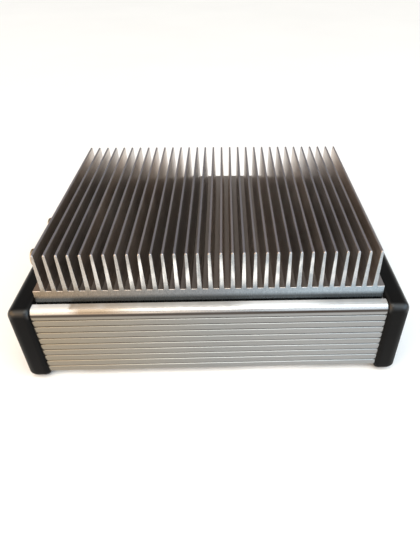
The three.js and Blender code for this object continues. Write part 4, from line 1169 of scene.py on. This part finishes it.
def lamp(name, kind, power, color):
    light = bpy.data.lights.new(name, kind)
    light.energy = power
    light.color = color
    return light, in_scene(name, light)


def area_light(name, place, target, size, power, color):
    light, made = lamp(name, "AREA", power, color)
    light.shape = "RECTANGLE"
    light.size, light.size_y = size
    made.location = place
    made.rotation_euler = (Vector(target) - Vector(place)).to_track_quat("-Z", "Y").to_euler()


def soft_sun(name, aside, ahead, spread, strength, color):
    """A distant light as wide as a studio's ceiling, tilted to the side and to the front, in degrees."""
    light, made = lamp(name, "SUN", strength, color)
    light.angle = math.radians(spread)
    made.rotation_euler = Euler((math.radians(ahead), math.radians(aside), 0))


def build_lights():
    """Soft light from above, in front and close to both ends, warm on the left and cool on the right."""
    case = (CASE_X, 0, 0.03)
    soft_sun("ceiling_left", -17, 20, 54, 1.25, (1, 0.87, 0.70))
    soft_sun("ceiling_right", 17, 20, 54, 1.32, (0.80, 0.93, 1))
    area_light("front_left", (-1.05, -1.85, 0.66), case, (2.0, 1.25), 11, (1, 0.80, 0.60))
    area_light("front_right", (1.05, -1.85, 0.66), case, (2.0, 1.25), 9, (0.76, 0.89, 1))
    area_light("side_left", (-0.75, -0.40, 0.40), (-0.14, -0.16, 0), (0.9, 0.5), 4.6, (1, 0.64, 0.33))
    area_light("side_right", (0.75, -0.40, 0.40), (0.14, -0.16, 0), (0.9, 0.5), 3.8, (0.58, 0.80, 1))
    world = bpy.data.worlds.new("studio")
    bpy.context.scene.world = world
    world.use_nodes = True
    background = world.node_tree.nodes["Background"]
    background.inputs["Color"].default_value = (1, 0.97, 0.96, 1)
    background.inputs["Strength"].default_value = 0.45


CAMERA_PLACE = (10.33 * MM + CASE_X, -279.62 * MM, 220.91 * MM)
CAMERA_PITCH = 39.416
CAMERA_YAW = 2.45
CAMERA_ROLL = 0.582
LENS = 31.61
SHIFT = (-0.0656, 0.0618)


def build_camera():
    """The camera, with its angles in degrees: down from level, right of +Y, and about its own axis."""
    camera = bpy.data.cameras.new("camera")
    camera.sensor_width = 36
    camera.lens = LENS
    camera.shift_x, camera.shift_y = SHIFT
    made = in_scene("camera", camera)
    pitch, yaw, roll = (math.radians(a) for a in (CAMERA_PITCH, CAMERA_YAW, CAMERA_ROLL))
    ahead = Vector((math.sin(yaw) * math.cos(pitch), math.cos(yaw) * math.cos(pitch), -math.sin(pitch)))
    level = Vector((math.cos(yaw), -math.sin(yaw), 0))
    upright = level.cross(ahead)
    right = math.cos(roll) * level + math.sin(roll) * upright
    up = math.cos(roll) * upright - math.sin(roll) * level
    turn = Matrix((right, up, -ahead)).transposed()
    made.matrix_world = Matrix.Translation(CAMERA_PLACE) @ turn.to_4x4()
    bpy.context.scene.camera = made


build_floor()
build_lights()
build_camera()
bpy.context.scene.view_settings.view_transform = "Standard"
